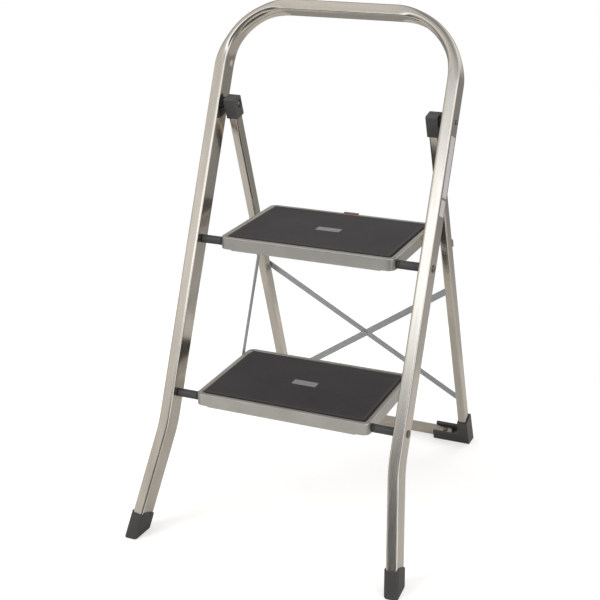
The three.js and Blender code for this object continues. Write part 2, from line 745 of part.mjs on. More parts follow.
/** Torsion spring wound on the catch pin, with one leg down the bracket plate and one up the lever. */
function catchSpring() {
  const stepsPerTurn = 10;
  const steps = springTurns * stepsPerTurn;
  const around = (angle) => new THREE.Vector3(0, Math.cos(angle), Math.sin(angle));
  const point = (angle, x) => around(angle).multiplyScalar(springRadius).setX(x);
  const along = (angle) => new THREE.Vector3(0, -Math.sin(angle), Math.cos(angle));
  const start = 160 * degree;
  const coil = [];
  for (let i = 0; i <= steps; i++) {
    const x = springPitch * (i / stepsPerTurn - springTurns / 2);
    coil.push(point(start + (2 * Math.PI * i) / stepsPerTurn, x));
  }
  const first = coil[0].clone().addScaledVector(along(start), -springLegLength / 2);
  const last = coil[steps].clone().addScaledVector(along(start), springLegLength);
  const wire = new THREE.Shape(roundedPoints(2 * springWire, 2 * springWire, springWire, 1));
  return sweep(wire, [first, ...coil, last]);
}

// ---------------------------------------------------------------- rear frame
// Group frame: origin on the hinge axis, Y up along the leg, Z square to it towards the front.

/** Hole for a blind rivet, along Z through the origin. */
function blindHole(reach) {
  return cylinder(braceRivetRadius + runningGap, -reach, reach, 12).rotateY(Math.PI / 2);
}

function rearLeg() {
  const shape = tubeShape(rearLegDepth, rearLegWidth, rearLegCorner, rearLegWall, 2);
  const tube = sweep(shape, [new THREE.Vector3(0, -rearLegEnd, 0), new THREE.Vector3(0, rearLegTop, 0)]);
  tube.translate(0, 0, rearLegAheadOfHinge);
  const hinge = cylinder(hingeRivetRadius + runningGap, -rearLegWidth, rearLegWidth);
  const blind = blindHole(2 * rearLegCorner).translate(0, 0, -rearBack);
  const holes = [supportDrop, braceTop, braceBottom].map((drop) => blind.clone().translate(0, -drop, 0));
  return cut(tube, hinge, ...holes);
}

/** Moulded cap over the top of a rear leg, with a hub against the front leg. Drawn for the right side. */
function hingeCap() {
  const front = rearFront + seat + capFrontWall;
  const back = -rearBack - seat - capBackWall;
  const side = new THREE.Shape();
  side.moveTo(front, -capBottomFront);
  side.lineTo(front, capTopFront - capEdge);
  side.lineTo(front - capEdge, capTopFront);
  side.lineTo(back + capEdge, capTopBack);
  side.lineTo(back, capTopBack - capEdge);
  side.lineTo(back, -capBottomBack + capEdge);
  side.lineTo(back + capEdge, -capBottomBack);
  const width = rearLegWidth + 2 * (seat + capSideWall);
  const body = slab(side, width, -width / 2).rotateY(-Math.PI / 2);
  const hubEnd = legInner - seat - rearLegX;
  const hub = cylinder(capHubRadius, width / 2 - 1, hubEnd, 24);
  const hollow = roundedShape(rearLegWidth + 2 * seat, rearLegDepth + 2 * seat, rearLegCorner + seat, 2);
  const socket = slab(hollow, capBottomBack + rearLegTop + 2 * seat).rotateX(-Math.PI / 2);
  socket.translate(0, -capBottomBack - seat, rearLegAheadOfHinge);
  const recess = cylinder(capRecessRadius, -width / 2 - 1, -rearLegWidth / 2, 20);
  const pin = cylinder(hingeRivetRadius + runningGap, 0, 2 * hubEnd);
  return cut(join(body, hub), socket, recess, pin);
}

function supportRail() {
  const end = rearLegX + supportDrop * Math.sin(rearSplay) + rearLegWidth / 2;
  const flatZ = supportRadius - supportFlatThickness / 2;
  const flatStart = end - supportFlatLength;
  const sections = [[end, 1], [flatStart, 1], [flatStart - supportTaper, 0]];
  const profile = [...sections, ...sections.map(([x, flat]) => [-x, flat]).reverse()];
  const rings = (wall) => profile.map(([x, flat]) => {
    const depth = flat ? supportFlatThickness : 2 * supportRadius;
    const height = flat ? supportFlatHeight : 2 * supportRadius;
    const radius = flat ? supportFlatThickness / 2 : supportRadius;
    const points = roundedPoints(depth - 2 * wall, height - 2 * wall, radius - wall, 4);
    return points.map((p) => new THREE.Vector3(x, p.y, p.x + flat * flatZ));
  });
  const rail = loft(rings(0), rings(1));
  const hole = blindHole(2 * supportRadius);
  const rivetX = end - rearLegWidth / 2;
  return cut(rail, ...sides.map(([, side]) => hole.clone().translate(side * rivetX, 0, 0)));
}

function bottomBar() {
  const sections = [
    [barEndHalf, barEndThickness],
    [barEndHalf - barTongueLength + barTaper, barEndThickness],
    [barEndHalf - barTongueLength, barPressedHeight],
    [barEndHalf - barPressedLength, barPressedHeight],
    [barEndHalf - barPressedLength - barTaper, barHeight],
  ];
  const profile = [...sections, ...sections.map(([x, height]) => [-x, height]).reverse()];
  const rings = (wall) => profile.map(([x, height]) => {
    const points = roundedPoints(barDepth - 2 * wall, height - 2 * wall, rearLegCorner - wall, 2);
    return points.map((p) => new THREE.Vector3(x, p.y + (height - barHeight) / 2, p.x));
  });
  const hole = cylinder(braceRivetRadius + runningGap, -barHeight, barHeight, 12).rotateZ(Math.PI / 2);
  const bar = loft(rings(0), rings(rearLegWall));
  return cut(bar, ...sides.map(([, side]) => hole.clone().translate(side * barRivetX, 0, 0)));
}

/** Moulded shoe: a socket for the leg and a trough for the bar's end. Drawn for the right side. */
function rearShoe(group) {
  const top = -rearLegEnd + shoeSocket;
  const floor = -rearFloor - barHeight; // below the floor all over, and cut by it
  const troughFloor = -barDrop - barHeight / 2 - seat;
  const troughTop = -barDrop + barHeight / 2 + shoeTrough;
  const legSide = rearLegWidth / 2 + seat;
  const socketInner = rearLegEndX - legSide - shoeInnerWall;
  const socketOuter = rearLegEndX + legSide + shoeSideWall;
  const socketOuterTop = rearLegEndX + legSide + shoeSideWallTop;
  const shoeInner = socketOuter - shoeLength;
  const outline = new THREE.Shape();
  outline.moveTo(shoeInner, floor);
  outline.lineTo(socketOuter, floor);
  outline.lineTo(socketOuterTop, top);
  outline.lineTo(socketInner, top);
  outline.lineTo(socketInner, troughTop + shoeFillet);
  outline.absarc(socketInner - shoeFillet, troughTop + shoeFillet, shoeFillet, 0, -Math.PI / 2, true);
  outline.lineTo(shoeInner, troughTop);
  const front = rearFront + seat + shoeFrontWall;
  const back = -rearBack - seat - shoeBackWall;
  const body = slab(outline, front - back, back);
  const hollow = roundedShape(rearLegWidth + 2 * seat, rearLegDepth + 2 * seat, rearLegCorner + seat, 2);
  const legHole = slab(hollow, 2 * shoeSocket).rotateX(-Math.PI / 2).rotateZ(rearSplay);
  legHole.translate(rearLegEndX, -rearLegEnd - seat, rearLegAheadOfHinge);
  const troughEnd = rearLegEndX - rearLegWidth / 2;
  const troughSize = [2 * shoeLength, troughTop - troughFloor + seat, barDepth + 2 * seat];
  const troughPlace = [troughEnd - shoeLength, (troughTop + seat + troughFloor) / 2, barAhead];
  const trough = block(...troughSize, ...troughPlace);
  const rivetHole = cylinder(braceRivetRadius + runningGap, -rivetGrip - 2 * seat, barHeight, 12);
  rivetHole.rotateZ(Math.PI / 2).translate(barRivetX, troughFloor, barAhead);
  return cut(body, legHole, trough, rivetHole, belowFloor(group));
}

/** Flat strip from the left leg to the right one; rise is +1 where it climbs to the right. */
function braceStrip(rise) {
  const ends = sides.map(([, side]) => {
    const drop = side * rise > 0 ? braceTop : braceBottom;
    return new THREE.Vector2(side * (rearLegX + drop * Math.sin(rearSplay)), -drop);
  });
  const span = ends[1].clone().sub(ends[0]);
  const middle = ends[0].clone().add(ends[1]).multiplyScalar(0.5);
  const hole = blindHole(2 * braceThickness);
  const outline = roundedShape(span.length() + braceWidth, braceWidth, braceWidth / 2, 4);
  const strip = slab(outline, braceThickness);
  strip.translate(0, 0, -braceThickness / 2).rotateZ(span.angle()).translate(middle.x, middle.y, 0);
  const centre = hole.clone().translate(0, -braceCrossing(), 0);
  return cut(strip, centre, ...ends.map((end) => hole.clone().translate(end.x, end.y, 0)));
}
function braceCrossing() {
  const [top, bottom] = [braceTop, braceBottom].map((drop) => rearLegX + drop * Math.sin(rearSplay));
  return braceTop + (braceBottom - braceTop) * (top / (top + bottom));
}

function buildRearFrame(stool) {
  const frame = subGroup(stool, 0, hingeY, hingeZ, Math.PI / 2 + rearLean);
  const outerLayer = -rearBack - seat - 1.5 * braceThickness - seat;
  for (const [name, side] of sides) {
    const leg = subGroup(frame, side * rearLegX, 0, 0, 0, side * rearSplay);
    add(leg, `rear_leg_${name}`, rearLeg(), polishedSteel);
    const cap = side > 0 ? hingeCap() : mirror(hingeCap());
    add(leg, `hinge_cap_${name}`, cap, darkPlastic);
    const railGrip = rivetGrip + rearLegWall + supportFlatThickness + 2 * seat;
    const railHead = -rearBack - supportFlatThickness - 2 * seat;
    add(leg, `support_rivet_${name}`, blindRivet(railGrip), zincSteel, 0, -supportDrop, railHead);
    const shoe = rearShoe(frame);
    add(frame, `rear_shoe_${name}`, side > 0 ? shoe : mirror(shoe), darkPlastic);
    add(frame, `bar_rivet_${name}`, barRivet(), zincSteel, side * barRivetX, -barDrop, barAhead);
    for (const [level, drop] of [['top', braceTop], ['bottom', braceBottom]]) {
      const inner = (level === 'top') === side > 0; // this end belongs to the strip next to the legs
      const stack = inner ? braceThickness + 2 * seat : 2 * braceThickness + 3 * seat;
      const pin = blindRivet(rivetGrip + rearLegWall + stack);
      add(leg, `brace_rivet_${level}_${name}`, pin, zincSteel, 0, -drop, -rearBack - stack);
    }
  }
  add(frame, 'support_rail', supportRail(), zincSteel, 0, -supportDrop, -supportBehindHinge);
  add(frame, 'bottom_bar', bottomBar(), polishedSteel, 0, -barDrop, barAhead);
  add(frame, 'brace_strip_front', braceStrip(1), zincSteel, 0, 0, -rearBack - seat - braceThickness / 2);
  add(frame, 'brace_strip_back', braceStrip(-1), zincSteel, 0, 0, outerLayer);
  const centre = rivet({
    shank: braceRivetRadius,
    from: -braceThickness - 1.5 * seat,
    to: braceThickness + 1.5 * seat,
    head: braceHeadRadius,
    height: braceHeadHeight,
  });
  const between = (-rearBack - seat - braceThickness / 2 + outerLayer) / 2;
  add(frame, 'brace_rivet_centre', centre.rotateY(-Math.PI / 2), zincSteel, 0, -braceCrossing(), between);
}

function mirror(geometry) {
  return closed(geometry.clone().scale(-1, 1, 1));
}

/** Rivet through the bar into the shoe, along the leg, head on top. */
function barRivet() {
  const bottom = -barHeight / 2 - 2 * seat - rivetGrip;
  const top = barPressedHeight - barHeight / 2 + seat;
  const outline = [[0, bottom], [braceRivetRadius, bottom], [braceRivetRadius, top]];
  return turned([...outline, ...dome(barRivetHeadRadius, top, barRivetHeadHeight, 1)]).rotateZ(Math.PI / 2);
}

// ---------------------------------------------------------------- assembly
const stool = new THREE.Group();
buildFrontFrame(stool);
const lowerRodY = -riser * Math.tan(frontLean);
buildTread(stool, 'lower', lowerRodY, upperRodZ - riser, pressedTray());
const upperTread = buildTread(stool, 'upper', 0, upperRodZ, upperTrayBody());
buildLinks(stool, lowerRodY, upperRodZ - riser);
buildCatch(upperTread);
buildRearFrame(stool);

// The origin is on the floor, under the middle of the stool's box.
stool.updateWorldMatrix(true, true);
const box = new THREE.Box3().setFromObject(stool, true);
stool.position.set(-(box.min.x + box.max.x) / 2, -(box.min.y + box.max.y) / 2, 0);

export default stool;
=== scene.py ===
import bpy
import json
import math
from mathutils import Matrix, Vector


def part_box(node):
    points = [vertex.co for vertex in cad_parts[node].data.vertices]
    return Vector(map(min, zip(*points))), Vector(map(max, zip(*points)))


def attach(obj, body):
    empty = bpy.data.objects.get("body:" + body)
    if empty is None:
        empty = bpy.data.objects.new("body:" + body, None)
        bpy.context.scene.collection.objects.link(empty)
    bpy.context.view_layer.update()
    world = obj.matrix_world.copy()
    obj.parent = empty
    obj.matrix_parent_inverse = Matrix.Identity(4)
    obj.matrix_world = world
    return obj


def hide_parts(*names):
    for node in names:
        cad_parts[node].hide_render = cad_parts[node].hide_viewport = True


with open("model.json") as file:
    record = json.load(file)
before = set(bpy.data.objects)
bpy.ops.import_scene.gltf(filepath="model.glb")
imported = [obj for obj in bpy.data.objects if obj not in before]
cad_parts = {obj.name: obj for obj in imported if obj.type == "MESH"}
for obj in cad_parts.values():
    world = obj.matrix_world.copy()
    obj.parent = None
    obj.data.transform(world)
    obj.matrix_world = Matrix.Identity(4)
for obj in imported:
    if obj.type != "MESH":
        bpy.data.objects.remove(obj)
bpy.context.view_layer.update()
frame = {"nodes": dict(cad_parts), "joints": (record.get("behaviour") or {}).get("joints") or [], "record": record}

nodes = frame["nodes"]
mm = 0.001
seatGap = 0.3                       # room between two pieces that touch, in mm
creaseAngle = 35                    # sharper edges than this stay creased, in degrees
sides = (("left", -1), ("right", 1))
pivots = {joint["name"]: Vector(joint["pos_m"]) for joint in frame["joints"]}
upperRod, lowerRod = pivots["upper_step_fold"], pivots["lower_step_fold"]
rodPlaces = (("upper", upperRod), ("lower", lowerRod))
hinge = pivots["rear_frame_fold"]
print("frame loaded:", len(nodes), "nodes")


def hexColour(code):
    # sRGB hex to linear, as the shader sockets want it
    channels = [int(code[i:i + 2], 16) / 255 for i in (1, 3, 5)]
    return [c / 12.92 if c <= 0.04045 else ((c + 0.055) / 1.055) ** 2.4 for c in channels] + [1]


def addNode(tree, kind, settings=None, inputs=None):
    # one node with its settings; an input is a value or the output socket that feeds it
    node = tree.nodes.new("ShaderNode" + kind)
    for name, value in (settings or {}).items():
        setattr(node, name, value)
    for name, value in (inputs or {}).items():
        if isinstance(value, bpy.types.NodeSocket):
            tree.links.new(value, node.inputs[name])
        else:
            node.inputs[name].default_value = value
    return node


def maths(tree, operation, *values):
    return addNode(tree, "Math", {"operation": operation}, dict(enumerate(values))).outputs[0]


def mixed(tree, share, first, second):
    return addNode(tree, "MixRGB", inputs={0: share, 1: first, 2: second}).outputs[0]


def softStep(tree, source, start, end):
    # 0 before the start, 1 past the end, and a soft rise between them
    step = addNode(tree, "MapRange", {"interpolation_type": "SMOOTHSTEP"},
                   {0: source, 1: start, 2: end})
    return step.outputs[0]


def newMaterial(name):
    material = bpy.data.materials.new(name)
    material.use_nodes = True
    tree = material.node_tree
    return material, tree, tree.nodes["Principled BSDF"]


view = dict(
    place=(0.7933, -1.9700, 1.1620),
    turn=23.166,                    # degrees to the right of the front
    dip=20.31,                      # degrees below level
    lens=75.92,
    sensor=36,
)


def addCamera():
    bpy.ops.object.camera_add(location=view["place"],
                              rotation=(math.radians(90 - view["dip"]), 0, math.radians(view["turn"])))
    camera = bpy.context.object
    camera.data.lens = view["lens"]
    camera.data.sensor_width = view["sensor"]
    bpy.context.scene.camera = camera


addCamera()
print("camera placed")


studio = dict(
    floorPlace=(-0.5, -0.35, 0), floorRadius=1.35,
    floorColour="#d9d7d4",
    floorGlow=0.5,                  # the camera sees the floor as white paper, soft shadows stay
    ambient=0.62,                   # even light from the room
    # what bright metal mirrors: parts of the room by their bearing, in degrees to the right of
    # the front, each with its tint and its level by the height of the direction
    room=(
        dict(name="dim left", edge=None, tint=(1, 0.985, 0.96),
             levels=[(-1.00, 0.28), (-0.12, 0.32), (0.00, 0.42), (0.35, 0.50), (0.65, 0.50), (0.80, 0.45),
                     (1.00, 0.32)]),
        dict(name="even wall", edge=(-85, -70), tint=(1, 0.985, 0.96),
             levels=[(-1.00, 0.28), (-0.05, 0.28), (0.10, 0.70), (0.29, 0.75), (0.33, 0.85), (0.40, 0.96),
                     (0.43, 0.88), (0.46, 0.72), (0.50, 0.66), (0.56, 0.80), (0.70, 0.80), (0.88, 0.90),
                     (1.00, 0.45)]),
        dict(name="tall soft lamp", edge=(-26, -20), tint=(0.98, 1.03, 1.09),
             levels=[(-1.00, 0.20), (-0.05, 0.16), (0.20, 0.08), (0.26, 0.13), (0.31, 0.28), (0.34, 0.68),
                     (0.36, 1.40), (0.39, 2.00), (0.48, 2.00), (0.50, 1.20), (0.56, 0.60), (0.70, 0.60),
                     (0.88, 0.60), (1.00, 0.40)]),
        dict(name="bright side", edge=(42, 52), tint=(1, 1.02, 1.06),
             levels=[(-1.00, 0.25), (-0.25, 0.30), (-0.05, 1.20), (0.40, 1.30), (0.55, 0.80), (0.70, 0.50),
                     (0.85, 0.36), (1.00, 0.30)]),
        dict(name="dim back", edge=(84, 112), tint=(1, 0.985, 0.96),
             levels=[(-1.00, 0.42), (-0.34, 0.48), (-0.28, 0.27), (-0.13, 0.27), (-0.04, 0.80), (0.20, 0.95),
                     (0.40, 0.60), (0.60, 0.45), (0.80, 0.38), (1.00, 0.30)]),
    ),
    key=dict(place=(-1.8, -2.4, 2.6), size=1.8, power=52),
    fill=dict(place=(2.6, -1.4, 1.8), size=1.6, power=16),
    back=dict(place=(0.9, 2.6, 2.4), size=1.8, power=20),
    lampAim=(0, 0, 0.4),
)


def paperFloor():
    bpy.ops.object.select_all(action="DESELECT")
    bpy.ops.mesh.primitive_circle_add(vertices=96, radius=studio["floorRadius"], fill_type="NGON",
                                      location=studio["floorPlace"])
    floor = bpy.context.object
    floor.name = "paper_floor"
    material, tree, shader = newMaterial("matt background paper")  # even white that takes a soft shadow
    shader.inputs["Base Color"].default_value = hexColour(studio["floorColour"])
    shader.inputs["Roughness"].default_value = 0.9
    shader.inputs["Specular IOR Level"].default_value = 0.1
    path = addNode(tree, "LightPath")
    strength = maths(tree, "MULTIPLY", path.outputs["Is Camera Ray"], studio["floorGlow"])
    glow = addNode(tree, "Emission", inputs={"Strength": strength})
    both = addNode(tree, "AddShader", inputs={0: shader.outputs[0], 1: glow.outputs[0]})
    tree.links.new(both.outputs[0], tree.nodes["Material Output"].inputs["Surface"])
    floor.data.materials.append(material)


def areaLamp(name, setup):
    place = Vector(setup["place"])
    bpy.ops.object.light_add(type="AREA", location=place)
    lamp = bpy.context.object
    lamp.name = name
    lamp.rotation_euler = (Vector(studio["lampAim"]) - place).to_track_quat("-Z", "Y").to_euler()
    lamp.data.shape = "SQUARE"
    lamp.data.size = setup["size"]
    lamp.data.energy = setup["power"]
    lamp.visible_glossy = False     # metal mirrors the room below instead of a hot square


def roomPart(tree, height, part):
    # a ramp over the height of the direction, normalised and scaled back to its brightest level
    ramp = addNode(tree, "ValToRGB", {"name": part["name"]}, {0: height})
    stops = ramp.color_ramp.elements
    while len(stops) < len(part["levels"]):
        stops.new(0.5)
    brightest = max(level for _, level in part["levels"])
    for stop, (place, level) in zip(stops, part["levels"]):
        stop.position = (place + 1) / 2
        stop.color = [level / brightest * share for share in part["tint"]] + [1]
    lit = addNode(tree, "VectorMath", {"operation": "SCALE"},
                  {0: ramp.outputs[0], "Scale": brightest})
    return lit.outputs[0]


def studioWorld():
    world = bpy.data.worlds.new("studio")
    bpy.context.scene.world = world
    world.use_nodes = True
    tree = world.node_tree
    path = addNode(tree, "LightPath")
    coords = addNode(tree, "TexCoord")
    split = addNode(tree, "SeparateXYZ", inputs={0: coords.outputs["Generated"]})
    height = addNode(tree, "MapRange", inputs={0: split.outputs["Z"], 1: -1, 2: 1}).outputs[0]
    towardsFront = maths(tree, "MULTIPLY", split.outputs["Y"], -1)
    bearing = maths(tree, "ARCTAN2", split.outputs["X"], towardsFront)
    mirrored = None
    for part in studio["room"]:
        lit = roomPart(tree, height, part)
        if part["edge"]:
            start, end = (math.radians(edge) for edge in part["edge"])
            lit = mixed(tree, softStep(tree, bearing, start, end), mirrored, lit)
        mirrored = lit
    seen = mixed(tree, path.outputs["Is Glossy Ray"], [studio["ambient"]] * 3 + [1], mirrored)
    seen = mixed(tree, path.outputs["Is Camera Ray"], seen, (1, 1, 1, 1))
    tree.links.new(seen, tree.nodes["Background"].inputs["Color"])


paperFloor()
for lampName in ("key", "fill", "back"):
    areaLamp(lampName + "_lamp", studio[lampName])
studioWorld()
bpy.context.scene.view_settings.view_transform = "Standard"
print("studio lit")


def noise(tree, where, scale, detail, roughness=0.5):
    return addNode(tree, "TexNoise", inputs={"Vector": where, "Scale": scale, "Detail": detail,
                                             "Roughness": roughness}).outputs[0]


def toneBetween(tree, source, low, high):
    # a colour that follows a pattern; low and high are each (value of the pattern, hex colour)
    ramp = addNode(tree, "ValToRGB", inputs={0: source})
    for stop, (position, code) in zip(ramp.color_ramp.elements, (low, high)):
        stop.position = position
        stop.color = hexColour(code)
    return ramp.outputs[0]


def unevenSheen(tree, shader, source, smoothest, roughest, span=(0.3, 0.7)):
    # roughness that follows a pattern over the given span of it
    rough = addNode(tree, "MapRange", inputs={0: source, 1: span[0], 2: span[1],
                                              3: smoothest, 4: roughest})
    tree.links.new(rough.outputs[0], shader.inputs["Roughness"])


def fineRelief(tree, shader, source, strength, depth):
    # relief of a pattern; its depth is in mm
    bump = addNode(tree, "Bump", inputs={"Height": source, "Strength": strength, "Distance": depth * mm})
    tree.links.new(bump.outputs[0], shader.inputs["Normal"])


def drawnSteel(name, light, dark, roughness, lineScale, lineDepth):
    # cold-drawn steel: streaks and shallow lines run along the piece, from its own grain attribute
    lineStretch, cloudScale, lineShare = 0.012, (0.05, 0.05, 0.011), 0.35
    material, tree, shader = newMaterial(name)
    shader.inputs["Metallic"].default_value = 1
    grain = addNode(tree, "Attribute", {"attribute_name": "grain"})

    def stretched(scale):
        return addNode(tree, "Mapping", inputs={"Vector": grain.outputs["Vector"],
                                                "Scale": scale}).outputs[0]

    lines = noise(tree, stretched((lineScale, lineScale, lineScale * lineStretch)), 1, 4, 0.6)
    cloud = noise(tree, stretched(cloudScale), 1, 2)
    both = maths(tree, "MULTIPLY_ADD", lines, lineShare, cloud)
    tree.links.new(toneBetween(tree, both, (0.45, dark), (0.9, light)), shader.inputs["Base Color"])
    unevenSheen(tree, shader, lines, roughness - 0.04, roughness + 0.06)
    fineRelief(tree, shader, lines, 0.15, lineDepth)
    return material


def satinSheet():
    # pressed steel sheet with a satin lacquer: soft mirror, fine orange peel, faint clouds
    material, tree, shader = newMaterial("satin lacquered steel sheet")
    shader.inputs["Metallic"].default_value = 1
    shader.inputs["Roughness"].default_value = 0.38
    where = addNode(tree, "TexCoord").outputs["Object"]
    peel, cloud = noise(tree, where, 900, 3), noise(tree, where, 18, 3)
    tone = toneBetween(tree, cloud, (0.3, "#c4c2bc"), (0.7, "#cfcdc7"))
    tree.links.new(tone, shader.inputs["Base Color"])
    fineRelief(tree, shader, peel, 0.15, 0.05)
    return material


def zincPlate(name, light, dark):
    # zinc plating: a soft shine that varies from one small crystal to the next
    material, tree, shader = newMaterial(name)
    shader.inputs["Metallic"].default_value = 1
    where = addNode(tree, "TexCoord").outputs["Object"]
    crystals = addNode(tree, "TexVoronoi", {"feature": "F1"}, {"Vector": where, "Scale": 300})
    distance = crystals.outputs["Distance"]
    tree.links.new(toneBetween(tree, distance, (0, light), (1, dark)), shader.inputs["Base Color"])
    unevenSheen(tree, shader, distance, 0.3, 0.42, (0, 1))
    return material


def paintedEdgeHighlightBand(tree, tone, worn):
    # mixes in the band's colour outside its inner outline, by the piece's own millimetres; this paler, browner
    # band is a painted highlight along a tread mat's raised edge
    grain = addNode(tree, "Attribute", {"attribute_name": "grain"})
    split = addNode(tree, "SeparateXYZ", inputs={0: grain.outputs["Vector"]})
    past = [maths(tree, "SUBTRACT", maths(tree, "ABSOLUTE", split.outputs[axis]), start)
            for axis, start in zip("XY", worn["start"])]
    share = softStep(tree, maths(tree, "MAXIMUM", *past), 0, worn["fade"])
    return mixed(tree, share, tone, hexColour(worn["colour"]))


def mouldedPolymer(name, colour, paler, roughness, grainScale, grainDepth, worn=None):
    # moulded polymer: spark-eroded mould grain and a slightly uneven sheen; an edge band, if one is given, /
    # paints a paler, browner line round the edge of a tread mat, as a painted highlight of its raised edge
    material, tree, shader = newMaterial(name)
    where = addNode(tree, "TexCoord").outputs["Object"]
    grain, cloud = noise(tree, where, grainScale, 3), noise(tree, where, 14, 4)
    tone = toneBetween(tree, cloud, (0.35, colour), (0.75, paler))
    if worn:
        tone = paintedEdgeHighlightBand(tree, tone, worn)
    tree.links.new(tone, shader.inputs["Base Color"])
    unevenSheen(tree, shader, grain, roughness - 0.06, roughness + 0.08)
    fineRelief(tree, shader, grain, 0.5, grainDepth)
    return material


finishes = {
    "polished_steel_tube": drawnSteel("bright drawn steel tube", "#dcd4c9", "#cdc6bb", 0.16, 0.8, 0.02),
    "satin_steel_sheet": satinSheet(),
    "zinc_steel": zincPlate("bright zinc plating", "#c3c7ca", "#b2b6b9"),
    "black_rubber": mouldedPolymer("grained black rubber", "#2c2a2b", "#323031", 0.6, 900, 0.12),
    "dark_plastic": mouldedPolymer("moulded grey-black nylon", "#333232", "#3b3a3a", 0.45, 1400, 0.05),
    "grey_plastic": mouldedPolymer("grey moulded plate", "#858484", "#8f8d8d", 0.5, 1400, 0.04),
    "red_plastic": mouldedPolymer("dull red moulded nylon", "#86605a", "#8f6a64", 0.45, 1400, 0.05),
}
# pieces with a finish of their own; the mats' painted edge highlight starts so many mm from their middle
footRubber = mouldedPolymer("smooth grey-black rubber", "#3e3b3a", "#464342", 0.5, 1100, 0.08)
shoeNylon = mouldedPolymer("worn grey-black nylon", "#434141", "#4d4b4a", 0.45, 1200, 0.06)
# the mat's paler, browner edge band is a painted highlight of its raised edge
matRubber = mouldedPolymer("grained black mat rubber", "#2c2a2b", "#333032", 0.55, 900, 0.12,
                           dict(start=(142, 93.6), fade=1.5, colour="#3f3937"))
sleeveNylon = mouldedPolymer("smooth grey nylon", "#424141", "#4a4949", 0.38, 1400, 0.04)
rodZinc = zincPlate("dulled zinc plating", "#98928b", "#827c76")
# the bottom bar's drawn steel, rougher than the tube's and painted lighter, to brighten its ends where the shoes
# shade them
barSteelPaintedLighter = drawnSteel("dull drawn steel tube painted lighter", "#e0d8cc", "#d2c9bd", 0.3, 0.8, 0.02)
labelFilm = mouldedPolymer("pale vinyl film", "#d5d0d0", "#dedada", 0.35, 700, 0.03)


def wear(piece, material):
    piece.data.materials.clear()
    piece.data.materials.append(material)


slotOf = {entry["node"]: entry["material_slot"] for entry in frame["record"]["subparts"]}
bodyOf = {name: body for body, names in frame["record"]["behaviour"]["bodies"].items() for name in names}
for name, node in nodes.items():
    wear(node, finishes[slotOf[name]])
print("materials set")


def enter(mode):
    bpy.ops.object.mode_set(mode=mode)


def addAt(kind, name, **settings):
    # a fresh primitive, with everything else deselected and its size and place in its mesh
    bpy.ops.object.select_all(action="DESELECT")
    getattr(bpy.ops.mesh, "primitive_" + kind + "_add")(**settings)
    piece = bpy.context.object
    piece.name = piece.data.name = name
    bpy.ops.object.transform_apply(location=True, rotation=True, scale=True)
    return piece


def addBlock(name, low, high):
    low, high = Vector(low), Vector(high)
    return addAt("cube", name, size=1, location=(low + high) / 2, scale=high - low)


def choose(kind, test):
    # in edit mode, selects the verts, edges or faces that pass the test
    mesh = bpy.context.object.data
    enter("EDIT")
    bpy.ops.mesh.select_mode(type=kind)
    bpy.ops.mesh.select_all(action="DESELECT")
    enter("OBJECT")
    if kind == "VERT":
        for vertex in mesh.vertices:
            vertex.select = test(vertex.co)
    elif kind == "EDGE":
        for edge in mesh.edges:
            edge.select = test(*(mesh.vertices[i].co for i in edge.vertices))
    else:
        for face in mesh.polygons:
            face.select = test(face.center, face.normal)
    enter("EDIT")


def chooseAll():
    enter("EDIT")
    bpy.ops.mesh.select_all(action="SELECT")


def push(x, y, z):
    bpy.ops.transform.translate(value=(x, y, z))


def pull(x, y, z):
    bpy.ops.mesh.extrude_region_move(TRANSFORM_OT_translate={"value": (x, y, z)})


def roundedBlock(name, low, high, axis, corner, segments):
    # a block whose four edges along one axis are rounded
    block = addBlock(name, low, high)
    choose("EDGE", lambda a, b: abs(getattr(a, axis) - getattr(b, axis)) > 0.01)
    bpy.ops.mesh.bevel(offset=corner, segments=segments)
    return block


def chooseTop():
    choose("FACE", lambda co, normal: normal.z > 0.9)


def cutAt(point, normal, **settings):
    chooseAll()
    bpy.ops.mesh.bisect(plane_co=point, plane_no=normal, **settings)


def cutAcross(axis, distances):
    # cuts on both sides of the middle, at each distance along the axis
    for distance in distances:
        for way in (-1, 1):
            cutAt(Vector(axis) * way * distance, axis)


def pressAt(x, thin, tall, centre):
    # presses the section at x and at -x towards the given centre
    choose("VERT", lambda co: abs(abs(co.x) - x) < 0.01)
    bpy.ops.transform.resize(value=(1, thin, tall), center_override=centre)


def faceOutwards():
    chooseAll()
    bpy.ops.mesh.remove_doubles(threshold=0.001)
    bpy.ops.mesh.normals_make_consistent(inside=False)
    enter("OBJECT")


def modify(piece, kind, **settings):
    bpy.ops.object.modifier_add(type=kind)
    modifier = piece.modifiers[-1]
    for name, value in settings.items():
        setattr(modifier, name, value)
    bpy.ops.object.modifier_apply(modifier=modifier.name)


def roundOff(piece, width, segments=3, angle=30):
    # every edge sharper than the angle, in degrees
    enter("OBJECT")
    modify(piece, "BEVEL", width=width, segments=segments, limit_method="ANGLE",
           angle_limit=math.radians(angle), miter_outer="MITER_ARC")


def only(piece):
    bpy.ops.object.select_all(action="DESELECT")
    piece.select_set(True)
    bpy.context.view_layer.objects.active = piece


def keepGrain(piece, grainAt=lambda co: co):
    # the piece's own millimetres: length along Z for the drawn lines of tubes and strips, and from / the middle of
    # a tread mat for its painted edge highlight
    enter("OBJECT")
    layer = piece.data.attributes.new("grain", "FLOAT_VECTOR", "POINT")
    for vertex in piece.data.vertices:
        layer.data[vertex.index].vector = grainAt(vertex.co)


def settle(piece, place):
    # from the bench, in millimetres, to its place on the stool
    enter("OBJECT")
    only(piece)
    piece.matrix_world = place @ Matrix.Scale(mm, 4)
    bpy.ops.object.transform_apply(location=True, rotation=True, scale=True)


def copyOf(piece, name, mirrored=False):
    other = piece.copy()
    other.data = piece.data.copy()
    other.name = other.data.name = name
    bpy.context.collection.objects.link(other)
    only(other)
    if mirrored:
        other.scale.x = -1
        bpy.ops.object.transform_apply(location=True, rotation=True, scale=True)
        faceOutwards()
    return other


